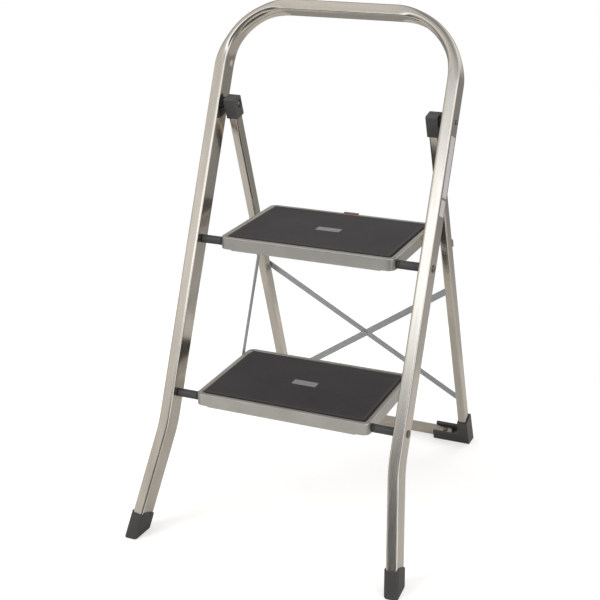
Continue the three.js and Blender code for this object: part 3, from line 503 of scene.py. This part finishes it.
def handIn(piece, node, finish=None):
    # shading, material and body all follow the CAD node that the piece stands for, the material by the node's slot
    only(piece)
    bpy.ops.object.shade_smooth_by_angle(angle=math.radians(creaseAngle))
    modify(piece, "WEIGHTED_NORMAL", keep_sharp=True)
    wear(piece, finish or finishes[slotOf[node]])
    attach(piece, bodyOf[node])
    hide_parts(node)


def finishedCopy(node, width, segments=3, angle=30, finish=None):
    # a CAD solid whose shape is right, merged and with its edges rounded
    piece = bpy.data.objects.new(node + "_finished", nodes[node].data.copy())
    bpy.context.collection.objects.link(piece)
    only(piece)
    bpy.ops.mesh.customdata_custom_splitnormals_clear()
    chooseAll()
    bpy.ops.mesh.remove_doubles(threshold=0.00001)
    bpy.ops.mesh.dissolve_limited(angle_limit=math.radians(2))
    roundOff(piece, width * mm, segments, angle)
    handIn(piece, node, finish=finish)


def turnPiece(name, outline, segments=40):
    # outline points (radius, x) spun round the X axis
    addAt("plane", name, size=1)
    enter("EDIT")
    bpy.ops.mesh.select_mode(type="VERT")
    bpy.ops.mesh.select_all(action="SELECT")
    bpy.ops.mesh.merge(type="CENTER")
    here = Vector((0, 0, 0))
    for number, (radius, x) in enumerate(outline):
        there = Vector((x, 0, radius))
        move = pull if number else push
        move(*(there - here))
        here = there
    chooseAll()
    bpy.ops.mesh.spin(steps=segments, angle=math.tau, center=(0, 0, 0), axis=(1, 0, 0))
    faceOutwards()
    return bpy.context.object


def domed(radius, x, height, direction, steps=6):
    # outline of a rivet head from its rim to its crown; part of its height is a straight rim
    rim = 0.35
    points = [(radius, x)]
    for i in range(steps + 1):
        angle = math.pi / 2 * i / steps
        rise = rim + (1 - rim) * math.sin(angle)
        points.append((max(radius * math.cos(angle), 0), x + direction * height * rise))
    return points


def headedPin(name, inner, outer, radius, heads, headHeight, segments=40):
    # a shank from inner to outer with a domed head on each end
    outline = list(reversed(domed(heads[0], inner, headHeight, -1)))
    outline += [(radius, inner), (radius, outer)]
    outline += domed(heads[1], outer, headHeight, 1)
    return turnPiece(name, outline, segments)


def setTwo(piece, name, node, turn=Matrix.Identity(4), finish=None):
    # one copy at each rod
    for level, pivot in rodPlaces:
        copy = copyOf(piece, level + name)
        settle(copy, Matrix.Translation(pivot) @ turn)
        handIn(copy, level + node, finish=finish)
    bpy.data.objects.remove(piece)


def setFour(piece, name, node, behind=0, finish=None):
    # one copy at each end of both rods, so many mm behind the rod
    for level, pivot in rodPlaces:
        for end, side in sides:
            copy = copyOf(piece, level + name + end, mirrored=side < 0)
            settle(copy, Matrix.Translation(pivot + Vector((0, behind * mm, 0))))
            handIn(copy, level + node + end, finish=finish)
    bpy.data.objects.remove(piece)


frontTube = dict(
    width=20, depth=40, corner=3.2, cornerSteps=5,
    ahead=2.4,                      # tube centreline in front of the rods
    railHeight=418.3,               # hand rail centreline above the upper rod
    bendRadius=113, bendSteps=40,
    splayHeight=185, splayAngle=7.9, splayRadius=300, splaySteps=8, endHeight=14,
    wallCuts=7,                     # along each flat wall, so that the section can change in the bends
    outerPower=2.5, innerPower=2.4,  # of the oval that the section goes to in the bends
    pressedIn=3.2,                  # how deep the bender's shoe presses a groove in the inner wall
    grooveBack=4, grooveHalf=10,    # the groove's middle behind the tube's, and half its width
    groovePower=1.2,                # above 1, its edges run out more softly
    ovalFade=0.34, grooveFade=0.12,  # share of the bend in which each comes in
)
frontLean = math.atan2(upperRod.y - lowerRod.y, upperRod.z - lowerRod.z)
frontFrame = Matrix.Translation(upperRod) @ Matrix.Rotation(-frontLean, 4, "X")
rodPitch = (upperRod - lowerRod).length / mm
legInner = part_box("upper_spacer_right")[1].x / mm + seatGap
legCentre = legInner + frontTube["width"] / 2
legOuter = legInner + frontTube["width"]


def eased(share):
    # a share from 0 to 1 with a soft start and finish
    share = min(1, max(0, share))
    return share * share * (3 - 2 * share)


def splayedEnd():
    # how far below the upper rod the splay starts, and the leg's length from there
    size = frontTube
    height = upperRod.z / mm + size["ahead"] * math.sin(frontLean)
    drop = (height - size["splayHeight"]) / math.cos(frontLean)
    length = (size["splayHeight"] - size["endHeight"]) / math.cos(frontLean)
    return drop, length


def bendFrontTube():
    size = frontTube
    rail, radius, y = size["railHeight"], size["bendRadius"], -size["ahead"]
    turn = legCentre - radius
    splay = math.radians(size["splayAngle"])
    drop, length = splayedEnd()
    tangent = size["splayRadius"] * math.tan(splay / 2)
    tube = addAt("plane", "front_tube", size=1, location=(0, y, rail), rotation=(0, math.pi / 2, 0))
    chooseAll()
    bpy.ops.transform.resize(value=(1, size["depth"], size["width"]), center_override=(0, y, rail))
    bpy.ops.mesh.bevel(affect="VERTICES", offset=size["corner"], segments=size["cornerSteps"])
    bpy.ops.mesh.select_mode(type="FACE")
    bpy.ops.mesh.select_all(action="SELECT")
    bpy.ops.mesh.delete(type="ONLY_FACE")
    choose("EDGE", lambda a, b: (a - b).length > size["width"] / 2)
    bpy.ops.mesh.subdivide(number_cuts=size["wallCuts"])
    chooseAll()
    pull(turn, 0, 0)
    bpy.ops.mesh.spin(steps=size["bendSteps"], angle=-math.pi / 2, center=(turn, y, rail - radius),
                      axis=(0, 1, 0))
    pull(0, 0, -(rail - radius + drop - tangent))
    bpy.ops.mesh.spin(steps=size["splaySteps"], angle=splay,
                      center=(legCentre + size["splayRadius"], y, tangent - drop), axis=(0, 1, 0))
    reach = length / math.cos(splay) - tangent
    pull(reach * math.sin(splay), 0, -reach * math.cos(splay))
    enter("OBJECT")
    modify(tube, "MIRROR", merge_threshold=0.01)
    enter("EDIT")
    bpy.ops.mesh.select_mode(type="EDGE")
    bpy.ops.mesh.select_all(action="DESELECT")
    bpy.ops.mesh.select_non_manifold(extend=False)
    bpy.ops.mesh.edge_face_add()
    faceOutwards()

    def layout(co):
        # outward and backward offset in the section, way along the tube, share of the bend
        x, z = abs(co.x), co.z
        bendStart, bendEnd = turn, turn + radius * math.pi / 2
        if z < rail - radius:
            return x - legCentre, co.y - y, bendEnd + rail - radius - z, 1.0
        if x < turn:
            return z - rail, co.y - y, x, 0.0
        angle = math.atan2(x - turn, z - rail + radius)
        away = math.hypot(x - turn, z - rail + radius)
        return away - radius, co.y - y, bendStart + radius * angle, angle / (math.pi / 2)

    keepGrain(tube, lambda co: Vector(layout(co)[:3]))
    halfWidth, halfDepth = size["width"] / 2, size["depth"] / 2
    for vertex in tube.data.vertices:
        out, back, _, share = layout(vertex.co)
        if not 0 < share < 1:
            continue
        ends = min(share, 1 - share)
        ovalShare, grooveShare = (eased(ends / size[part]) for part in ("ovalFade", "grooveFade"))
        # the section goes from a rounded rectangle to an oval
        power = size["outerPower"] if out > 0 else size["innerPower"]
        oval = (abs(out / halfWidth) ** power + abs(back / halfDepth) ** power) ** (1 / power)
        k = 1 + (1 / oval - 1) * ovalShare
        newOut, newBack = out * k, back * k
        if newOut < 0:
            groove = max(0, 1 - ((newBack - size["grooveBack"]) / size["grooveHalf"]) ** 2)
            newOut += (size["pressedIn"] * groove ** size["groovePower"]
                       * min(1, -newOut / halfWidth) * grooveShare)
        angle = share * math.pi / 2
        direction = Vector((math.copysign(math.sin(angle), vertex.co.x), 0, math.cos(angle)))
        vertex.co += direction * (newOut - out) + Vector((0, newBack - back, 0))
    settle(tube, frontFrame)
    handIn(tube, "front_frame_tube")


# two plain films on the outer side of the right leg: (start above the upper rod, length)
label = dict(films=((86, 27), (117, 102)), width=24, thickness=0.2, corner=1.5, glue=0.05)


def stickLabel():
    inner, half = legOuter + label["glue"], label["width"] / 2
    for number, (start, length) in enumerate(label["films"]):
        film = roundedBlock("label_film_" + str(number + 1), (inner, -frontTube["ahead"] - half, start),
                            (inner + label["thickness"], half - frontTube["ahead"], start + length),
                            "x", label["corner"], 4)
        faceOutwards()
        settle(film, frontFrame)
        wear(film, labelFilm)
        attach(film, "front_frame")


bendFrontTube()
stickLabel()
print("front tube bent")


frontFoot = dict(
    wall=2.3, collar=22.5, ear=3.5, socket=9, soleRound=3.6, edgeRound=0.7,
    below=45,                       # how far the block reaches before the floor cuts it
    earSteps=((20.3, 3.5), (19.3, 2.3), (17.4, 1.1), (14.4, 0.3), (9.3, 0)),
)


def earDrop(y):
    # how far the foot's top edge lies below its crest, at y from the middle
    steps = frontFoot["earSteps"]
    for (outer, low), (inner, high) in zip(steps, steps[1:]):
        if y > inner:
            return low + (high - low) * min(1, max(0, (outer - y) / (outer - inner)))
    return 0


def mouldFoot(name, side):
    size, tube = frontFoot, frontTube
    drop, length = splayedEnd()
    splay = math.radians(tube["splayAngle"])
    end = Matrix.Translation((side * (legCentre + length * math.tan(splay)) * mm, -tube["ahead"] * mm,
                              -(drop + length) * mm))
    place = frontFrame @ end @ Matrix.Rotation(-side * splay, 4, "Y")
    half = Vector((tube["width"] / 2 + size["wall"], tube["depth"] / 2 + size["wall"], 0))
    top = size["collar"] + size["ear"]
    foot = roundedBlock("front_foot_rubber_" + name, (-half.x, -half.y, -size["below"]),
                        (half.x, half.y, top), "z", tube["corner"] + size["wall"], 6)
    cutAcross((0, 1, 0), [y for y, _ in size["earSteps"]])
    enter("OBJECT")
    # the side walls rise in a soft arch between the corners
    for vertex in foot.data.vertices:
        if vertex.co.z > top - 0.01:
            vertex.co.z -= earDrop(abs(vertex.co.y))
    choose("FACE", lambda co, normal: normal.z > 0.2 and co.z > size["collar"] - 0.5)
    bpy.ops.mesh.inset(thickness=size["wall"] - seatGap)
    pull(0, 0, -size["socket"])
    toFloor = place.inverted()
    floorPoint = toFloor @ Vector((0, 0, 0)) / mm
    floorNormal = (toFloor.to_3x3() @ Vector((0, 0, 1))).normalized()
    cutAt(floorPoint, floorNormal, clear_inner=True, use_fill=True)
    choose("EDGE", lambda a, b: all(abs((co - floorPoint).dot(floorNormal)) < 0.02 for co in (a, b)))
    bpy.ops.mesh.bevel(offset=size["soleRound"], segments=4)
    faceOutwards()
    roundOff(foot, size["edgeRound"], 2, 40)
    settle(foot, place)
    handIn(foot, "front_foot_" + name, finish=footRubber)


for name, side in sides:
    mouldFoot(name, side)
print("front feet moulded")


rods = dict(
    radius=4, headRadius=6.6, headHeight=2.6,
    bore=4.35,                      # of the sleeves and bushes that sit on the rod
    spacerRadius=7.5, spacerRound=0.7, spacerCollar=3.2, spacerSlope=0.7, spacerStep=0.12,
    bushFlange=3.6, bushWall=1.2, bushTip=0.3, bushRound=0.5, bushOuterRound=0.8,
    hingeRadius=3, hingeHeads=(4, 4.5), hingeHeadHeight=2.4,
)


def turnRods():
    reach = legOuter + seatGap
    rod = headedPin("tread_rod", -reach, reach, rods["radius"], [rods["headRadius"]] * 2,
                    rods["headHeight"])
    setTwo(rod, "_rod_turned", "_rod", Matrix.Rotation(-frontLean, 4, "X"), rodZinc)


def turnSpacers():
    # nylon sleeve: a plain barrel with a hardly thicker collar at each end
    size = rods
    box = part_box("upper_spacer_right")
    start, end = box[0].x / mm, box[1].x / mm
    bore, radius, soft = size["bore"], size["spacerRadius"], size["spacerRound"]
    barrel = radius - size["spacerStep"]
    collar = size["spacerCollar"]
    slope = collar + size["spacerSlope"]
    outline = [(bore, start), (radius - soft, start), (radius, start + soft), (radius, start + collar),
               (barrel, start + slope), (barrel, end - slope), (radius, end - collar),
               (radius, end - soft), (radius - soft, end), (bore, end), (bore, start)]
    setFour(turnPiece("spacer", outline), "_sleeve_", "_spacer_", finish=sleeveNylon)


def turnBushes():
    size = rods
    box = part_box("upper_bush_right")
    tail, back = box[0].x / mm, box[1].x / mm
    face = back - size["bushFlange"]
    bore, radius = size["bore"], size["spacerRadius"]
    barrel = bore + size["bushWall"]
    tip, soft, outerSoft = size["bushTip"], size["bushRound"], size["bushOuterRound"]
    outline = [(bore, tail), (barrel - tip, tail), (barrel, tail + tip), (barrel, face),
               (radius - soft, face), (radius, face + soft), (radius, back - outerSoft),
               (radius - outerSoft, back), (bore, back), (bore, tail)]
    setFour(turnPiece("bush", outline), "_flange_", "_bush_", finish=sleeveNylon)


def turnHingeRivets():
    size = rods
    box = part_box("hinge_rivet_right")
    height = size["hingeHeadHeight"]
    rivet = headedPin("hinge_rivet", box[0].x / mm + height, box[1].x / mm - height,
                      size["hingeRadius"], size["hingeHeads"], height)
    for name, side in sides:
        piece = copyOf(rivet, "hinge_rivet_turned_" + name, mirrored=side < 0)
        settle(piece, Matrix.Translation((0, hinge.y, hinge.z)))
        handIn(piece, "hinge_rivet_" + name, finish=rodZinc)
    bpy.data.objects.remove(rivet)


turnRods()
turnSpacers()
turnBushes()
turnHingeRivets()
print("rods, sleeves, bushes and hinge rivets turned")


tread = dict(
    width=320, depth=223.2, corner=14, skirt=22.9, sheet=1.2, edgeRound=0.35,
    rim=9, rimRound=2.8, innerRound=3.2,
    flapInset=22, flapDrop=1.4, flapSlope=1.4,
    rodBelowRim=14.2, rodBehindFront=20.5, floorSheet=1,
    hookWidth=30, hookOffset=105, hookLip=6, hookRound=1.1,
    notchWidth=30, notchDepth=6.8, notchDrop=7.4,
)
mat = dict(
    thickness=4.4, rise=1, sideGap=3, corner=4, border=2.6, step=0.9, stepDepth=0.6, edgeRound=1.4,
    plateLength=45, plateDepth=18, plateCorner=2, plateThickness=0.8,
    plateBorder=1.1, plateStep=0.25, plateStepDepth=0.2, plateRound=0.15,
)
overshoot = 5                       # how far a cutter stands out of the piece, in mm
matTop = tread["rodBelowRim"] + mat["rise"]
floorTop = matTop - mat["thickness"] - seatGap
treadMiddle = tread["depth"] / 2 - tread["rodBehindFront"]      # behind the rod
treadBack = tread["depth"] - tread["rodBehindFront"]


def pressTray(name):
    # one sheet: a folded hollow rim round a shallow pan, the skirt with a deeper flap front and back
    size = tread
    half = Vector((size["width"] / 2, size["depth"] / 2))
    top, bottom = size["rodBelowRim"], size["rodBelowRim"] - size["skirt"] + size["flapDrop"]

    def inwards(co):
        # how far a point lies inside the tray's outline
        x = max(abs(co.x) - half.x + size["corner"], 0)
        y = max(abs(co.y - treadMiddle) - half.y + size["corner"], 0)
        return size["corner"] - math.hypot(x, y)

    tray = roundedBlock(name, (-half.x, treadMiddle - half.y, bottom), (half.x, treadMiddle + half.y, top),
                        "z", size["corner"], 10)
    chooseTop()
    bpy.ops.mesh.inset(thickness=size["rim"])
    pull(0, 0, floorTop - top)
    choose("EDGE", lambda a, b: min(a.z, b.z) > top - 0.01 and max(inwards(a), inwards(b)) < 0.1)
    bpy.ops.mesh.bevel(offset=size["rimRound"], segments=6)
    choose("EDGE", lambda a, b: min(a.z, b.z) > top - 0.01 and
           min(inwards(a), inwards(b)) > size["rim"] - 0.1)
    bpy.ops.mesh.bevel(offset=size["innerRound"], segments=5)
    choose("FACE", lambda co, normal: normal.z < -0.9 and co.z < bottom + 1)
    bpy.ops.mesh.inset(thickness=size["sheet"])
    pull(0, 0, top - size["sheet"] - bottom)
    bpy.ops.mesh.inset(thickness=size["rim"] - 2 * size["sheet"])
    pull(0, 0, floorTop - size["floorSheet"] - top + size["sheet"])
    flap, slope = half.x - size["flapInset"], size["flapSlope"]
    for x in (flap, flap - slope, slope - flap, -flap):
        cutAt((x, 0, 0), (1, 0, 0))
    choose("VERT", lambda co: co.z < bottom + 0.1 and abs(co.x) < flap - slope / 2 and
           abs(co.y - treadMiddle) > half.y - size["sheet"] - 0.1)
    push(0, 0, -size["flapDrop"])
    faceOutwards()
    return tray


def addHooks(tray):
    # two folded tongues that sit on the support rail
    size = tread
    under = size["rodBelowRim"] - size["skirt"]
    tip = (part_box("upper_tray")[1].y - upperRod.y) / mm
    parts = [tray]
    for side in (-1, 1):
        x = side * size["hookOffset"]
        hook = addBlock("tray_hook", (x - size["hookWidth"] / 2, treadBack - size["sheet"], under),
                        (x + size["hookWidth"] / 2, tip - size["sheet"], under + size["sheet"]))
        choose("FACE", lambda co, normal: normal.y > 0.9)
        pull(0, size["sheet"], 0)
        choose("FACE", lambda co, normal: normal.z < -0.9 and co.y > tip - size["sheet"])
        pull(0, 0, -size["hookLip"])
        choose("EDGE", lambda a, b: min(a.y, b.y) > tip - 0.01 and abs(a.x - b.x) > 10 and a.z > under)
        bpy.ops.mesh.bevel(offset=size["hookRound"], segments=4)
        faceOutwards()
        parts.append(hook)
    only(tray)
    for part in parts:
        part.select_set(True)
    bpy.ops.object.join()


def cutWith(piece, low, high):
    cutter = addBlock("cutter", low, high)
    only(piece)
    modify(piece, "BOOLEAN", operation="DIFFERENCE", object=cutter)
    bpy.data.objects.remove(cutter)


def buildTrays():
    size = tread
    lower = pressTray("lower_tray_pressed")
    upper = copyOf(lower, "upper_tray_pressed")
    half, depth = size["notchWidth"] / 2, size["notchDepth"]
    cutWith(upper, (-half, treadBack - depth, size["rodBelowRim"] - size["notchDrop"]),
            (half, treadBack + depth, size["rodBelowRim"] + overshoot))
    addHooks(upper)
    for tray, (level, pivot) in zip((upper, lower), rodPlaces):
        only(tray)
        roundOff(tray, size["edgeRound"], 2, 50)
        settle(tray, Matrix.Translation(pivot))
        handIn(tray, level + "_tray")


def mouldMats():
    # rubber mat with a raised edge band round a slightly lower field
    inset = tread["rim"] + mat["sideGap"]
    half = Vector((tread["width"] / 2 - inset, tread["depth"] / 2 - inset))
    pad = roundedBlock("tread_mat", (-half.x, treadMiddle - half.y, matTop - mat["thickness"]),
                       (half.x, treadMiddle + half.y, matTop), "z", mat["corner"], 8)
    chooseTop()
    bpy.ops.mesh.inset(thickness=mat["border"])
    bpy.ops.mesh.inset(thickness=mat["step"], depth=-mat["stepDepth"])
    corner = half - Vector((mat["corner"], mat["corner"]))

    def inwards(co):
        x, y = max(abs(co.x) - corner.x, 0), max(abs(co.y - treadMiddle) - corner.y, 0)
        return mat["corner"] - math.hypot(x, y)

    choose("EDGE", lambda a, b: min(a.z, b.z) > matTop - 0.01 and max(inwards(a), inwards(b)) < 0.05)
    bpy.ops.mesh.bevel(offset=mat["edgeRound"], segments=3)
    faceOutwards()
    plate = (mat["plateLength"] / 2 + seatGap, mat["plateDepth"] / 2 + seatGap)
    cutWith(pad, (-plate[0], treadMiddle - plate[1], matTop - mat["plateThickness"] - seatGap),
            (plate[0], treadMiddle + plate[1], matTop + overshoot))
    upper = copyOf(pad, "upper_mat_moulded")
    pad.name = "lower_mat_moulded"
    for piece, (level, pivot) in zip((upper, pad), rodPlaces):
        only(piece)
        keepGrain(piece, lambda co: co - Vector((0, treadMiddle, 0)))
        settle(piece, Matrix.Translation(pivot))
        handIn(piece, level + "_mat", finish=matRubber)


def mouldPlates():
    half = (mat["plateLength"] / 2, mat["plateDepth"] / 2)
    plate = roundedBlock("mat_plate", (-half[0], treadMiddle - half[1], matTop - mat["plateThickness"]),
                         (half[0], treadMiddle + half[1], matTop), "z", mat["plateCorner"], 6)
    chooseTop()
    bpy.ops.mesh.inset(thickness=mat["plateBorder"])
    bpy.ops.mesh.inset(thickness=mat["plateStep"], depth=-mat["plateStepDepth"])
    faceOutwards()
    roundOff(plate, mat["plateRound"], 2, 60)
    setTwo(plate, "_plate_plain", "_mat_plate")


buildTrays()
mouldMats()
mouldPlates()
print("treads pressed, mats and plates moulded")


links = dict(width=10, thickness=2, behindRod=177, pinRadius=2.4, heads=(4.5, 4.5), headHeight=1.8)
stripRound = 0.35                   # of a thick strip's edges; a thin one has a fifth of its thickness


def roundEndedStrip(name, width, thickness, length):
    # flat bar standing along Z, ends fully rounded in the YZ plane
    strip = roundedBlock(name, (-thickness / 2, -width / 2, -width / 2),
                         (thickness / 2, width / 2, length + width / 2), "x", width / 2 - 0.01, 10)
    faceOutwards()
    roundOff(strip, min(stripRound, thickness / 5), 2, 60)
    keepGrain(strip)
    return strip


def stampLinks():
    for name, _ in sides:
        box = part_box("link_bar_" + name)
        x = (box[0].x + box[1].x) / 2
        bar = roundEndedStrip("link_strip_" + name, links["width"], links["thickness"], rodPitch)
        foot = Vector((x, lowerRod.y + links["behindRod"] * mm, lowerRod.z))
        settle(bar, Matrix.Translation(foot) @ Matrix.Rotation(-frontLean, 4, "X"))
        handIn(bar, "link_bar_" + name)
    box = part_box("upper_link_pin_right")
    height = links["headHeight"]
    pin = headedPin("link_pin", box[0].x / mm + height, box[1].x / mm - height, links["pinRadius"],
                    links["heads"], height, 32)
    setFour(pin, "_link_pin_turned_", "_link_pin_", behind=links["behindRod"])


stampLinks()
print("links stamped")


rear = dict(
    lean=21.2, splay=0.5,           # degrees
    legWidth=16, legDepth=22.5, legCorner=3, ahead=3, top=5, endLift=17, legWall=1, legHollow=12,
    capWall=2,                      # of the hinge cap, beside the leg
    railRadius=7, railFlatThickness=4.5, railFlatHeight=17, railFlatLength=25.5, railTaper=13,
    barHeight=15.4, barDepth=18.4, barBehindLeg=1, barAboveFloor=15.7, barEndGap=1.2, barRound=0.4,
    barPressedLength=42, barPressedHeight=12.4, barTongue=22, barTaper=10, barEndThickness=6.5,
    barRivetInset=32, barRivetHead=5, barRivetHeight=3, barRivetTail=3.6,
    braceWidth=13, braceThickness=1.5, braceTop=369, braceBottom=667,
    # pulled rivets; their tail is what lies inside the leg with its wall
    rivetRadius=2, rivetHead=4, rivetHeight=1.6, rivetTail=4, craterDepth=0.9, craterFloor=0.9,
    craterMouth=1.1, centreRound=0.3,
)
rearLean = math.radians(rear["lean"])
rearSplay = math.radians(rear["splay"])
rearFrame = Matrix.Translation((0, hinge.y, hinge.z)) @ Matrix.Rotation(rearLean, 4, "X")
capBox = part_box("hinge_cap_right")
rearLegX = capBox[0].x / mm + rear["capWall"] + seatGap + rear["legWidth"] / 2
rearBack = rear["legDepth"] / 2 - rear["ahead"]
rearFloor = (hinge.z / mm - rear["ahead"] * math.sin(rearLean)) / math.cos(rearLean)
legEnd = rearFloor - rear["endLift"]


def legFrame(side):
    hung = rearFrame @ Matrix.Translation((side * rearLegX * mm, 0, 0))
    return hung @ Matrix.Rotation(-side * rearSplay, 4, "Y")


def drawRearLegs():
    size = rear
    half = (size["legWidth"] / 2, size["legDepth"] / 2)
    for name, side in sides:
        leg = roundedBlock("rear_tube_" + name, (-half[0], -size["ahead"] - half[1], -legEnd),
                           (half[0], -size["ahead"] + half[1], size["top"]), "z", size["legCorner"], 5)
        choose("FACE", lambda co, normal: abs(normal.z) > 0.9)
        bpy.ops.mesh.inset(thickness=size["legWall"])
        bpy.ops.mesh.extrude_region_shrink_fatten(TRANSFORM_OT_shrink_fatten={"value": -size["legHollow"]})
        faceOutwards()
        keepGrain(leg)
        settle(leg, legFrame(side))
        handIn(leg, "rear_leg_" + name)


def flattenRail():
    # round tube, its ends pressed flat against the legs
    size = rear
    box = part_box("support_rail")
    end = box[1].x / mm
    radius = size["railRadius"]
    rail = addAt("cylinder", "support_rail_pressed", vertices=40, radius=radius, depth=2 * end,
                 rotation=(0, math.pi / 2, 0))
    flatStart = end - size["railFlatLength"]
    steps = [(flatStart - size["railTaper"] * (1 - share), share) for share in (0, 0.25, 0.5, 0.75, 1)]
    cutAcross((1, 0, 0), [x for x, _ in steps])
    for x, share in steps[1:] + [(end, 1)]:
        thin = 1 + (size["railFlatThickness"] / (2 * radius) - 1) * eased(share)
        tall = 1 + (size["railFlatHeight"] / (2 * radius) - 1) * eased(share)
        pressAt(x, thin, tall, (0, -radius, 0))
    faceOutwards()
    keepGrain(rail, lambda co: Vector((co.y, co.z, co.x)))
    middle = (box[0] + box[1]) / 2
    behind = rearBack + seatGap + radius
    upward = rearFrame.to_3x3() @ Vector((0, 0, 1))
    drop = Vector((0, hinge.y - middle.y, hinge.z - middle.z)).dot(upward) / mm
    settle(rail, rearFrame @ Matrix.Translation((0, behind * mm, -drop * mm)))
    handIn(rail, "support_rail")


def pressBar():
    size = rear
    endX = rearLegX + legEnd * math.sin(rearSplay)
    half = endX - size["legWidth"] / 2 - size["barEndGap"]
    ahead = size["ahead"] - size["barBehindLeg"]
    drop = rearFloor - size["barAboveFloor"]
    height, depth = size["barHeight"], size["barDepth"]
    bar = roundedBlock("bottom_bar_pressed", (-half, -depth / 2, -height / 2),
                       (half, depth / 2, height / 2), "x", size["legCorner"], 5)
    # pressed a little flatter round the rivet, and down to a tongue at the end
    taper = size["barTaper"]
    presses = ((half - size["barPressedLength"] - taper, height, size["barPressedHeight"]),
               (half - size["barTongue"], size["barPressedHeight"], size["barEndThickness"]))
    steps = []
    for start, before, after in presses:
        for share in (0, 0.2, 0.4, 0.6, 0.8, 1):
            steps.append((start + taper * share, before + (after - before) * eased(share)))
    cutAcross((1, 0, 0), [x for x, _ in steps])
    for x, tall in steps + [(half, size["barEndThickness"])]:
        pressAt(x, 1, tall / height, (0, 0, -height / 2))
    faceOutwards()
    roundOff(bar, size["barRound"], 2, 60)
    keepGrain(bar, lambda co: Vector((co.y, co.z, co.x)))
    place = rearFrame @ Matrix.Translation((0, -ahead * mm, -drop * mm))
    settle(bar, place)
    # the bar wears the lighter-painted steel: painted light for its ends in the shoes' shade
    handIn(bar, "bottom_bar", finish=barSteelPaintedLighter)
    top = size["barPressedHeight"] - height / 2 + seatGap
    tail = -height / 2 - size["barRivetTail"]
    outline = [(0, tail), (size["rivetRadius"], tail), (size["rivetRadius"], top)]
    outline += domed(size["barRivetHead"], top, size["barRivetHeight"], 1)
    rivet = turnPiece("bar_rivet", outline, 32)
    upright = Matrix.Rotation(-math.pi / 2, 4, "Y")
    for name, side in sides:
        piece = copyOf(rivet, "bar_rivet_turned_" + name)
        aside = Matrix.Translation((side * (half - size["barRivetInset"]) * mm, 0, 0))
        settle(piece, place @ aside @ upright)
        handIn(piece, "bar_rivet_" + name, finish=rodZinc)
    bpy.data.objects.remove(rivet)


def stampBraces():
    size = rear
    thickness = size["braceThickness"]
    inner = rearBack + seatGap + thickness / 2
    outer = rearBack + 2 * seatGap + 1.5 * thickness
    top, bottom = size["braceTop"], size["braceBottom"]
    topX, bottomX = (rearLegX + drop * math.sin(rearSplay) for drop in (top, bottom))
    for name, rise, y in (("front", 1, inner), ("back", -1, outer)):
        low, high = Vector((-rise * bottomX, 0, -bottom)), Vector((rise * topX, 0, -top))
        strip = roundEndedStrip("brace_strip_stamped_" + name, size["braceWidth"], thickness,
                                (high - low).length)
        lean = math.atan2(high.x - low.x, high.z - low.z)
        flat = Matrix.Rotation(lean, 4, "Y") @ Matrix.Rotation(math.pi / 2, 4, "Z")
        settle(strip, rearFrame @ Matrix.Translation((low.x * mm, y * mm, low.z * mm)) @ flat)
        handIn(strip, "brace_strip_" + name)


def turnBlindRivets():
    # pulled rivet: flat dome with the small crater of its broken stem
    size = rear
    toWorld = rearFrame.to_3x3()
    across = toWorld @ Vector((0, 1, 0))
    names = [name for name in nodes if name.startswith(("brace_rivet_", "support_rivet_"))]
    names.remove("brace_rivet_centre")
    for name in names:
        # the outer strip's rivets reach over the inner strip's depth too
        side = -1 if name.endswith("left") else 1
        strips = 1 if ("top" in name) == (side > 0) else 2
        held = strips * size["braceThickness"]
        if name.startswith("support"):
            strips, held = 1, size["railFlatThickness"]
        grip = size["rivetTail"] + held + (strips + 1) * seatGap
        crown = list(reversed(domed(size["rivetHead"], 0, size["rivetHeight"], -1)))
        crater = crown[0][1] + size["craterDepth"]
        outline = [(0, crater), (size["craterFloor"], crater), (size["craterMouth"], -size["rivetHeight"])]
        outline += crown[1:] + [(size["rivetRadius"], 0), (size["rivetRadius"], grip), (0, grip)]
        rivet = turnPiece(name + "_turned", outline, 28)
        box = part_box(name)
        middle = (box[0] + box[1]) / 2
        # the head's seat lies behind the middle of the box by the difference of the two halves
        start = middle + across * ((grip - size["rivetHeight"]) / 2) * mm
        settle(rivet, Matrix.Translation(start) @ toWorld.to_4x4() @ Matrix.Rotation(-math.pi / 2, 4, "Z"))
        handIn(rivet, name)


drawRearLegs()
flattenRail()
pressBar()
stampBraces()
turnBlindRivets()
finishedCopy("brace_rivet_centre", rear["centreRound"])
print("rear frame made")


# edge rounds, in mm, of the solids that keep their shape
moulded = dict(hinge_cap=1.3, rear_shoe=1.2, leastAngle=25)
catchRounds = dict(catch_lever=0.6, catch_bracket=0.3, catch_pin=0.2)

for name, _ in sides:
    for node in ("hinge_cap", "rear_shoe"):
        finishedCopy(node + "_" + name, moulded[node], 3, moulded["leastAngle"], shoeNylon)
for node, width in catchRounds.items():
    finishedCopy(node, width, 2)
print("caps, shoes and catch finished")
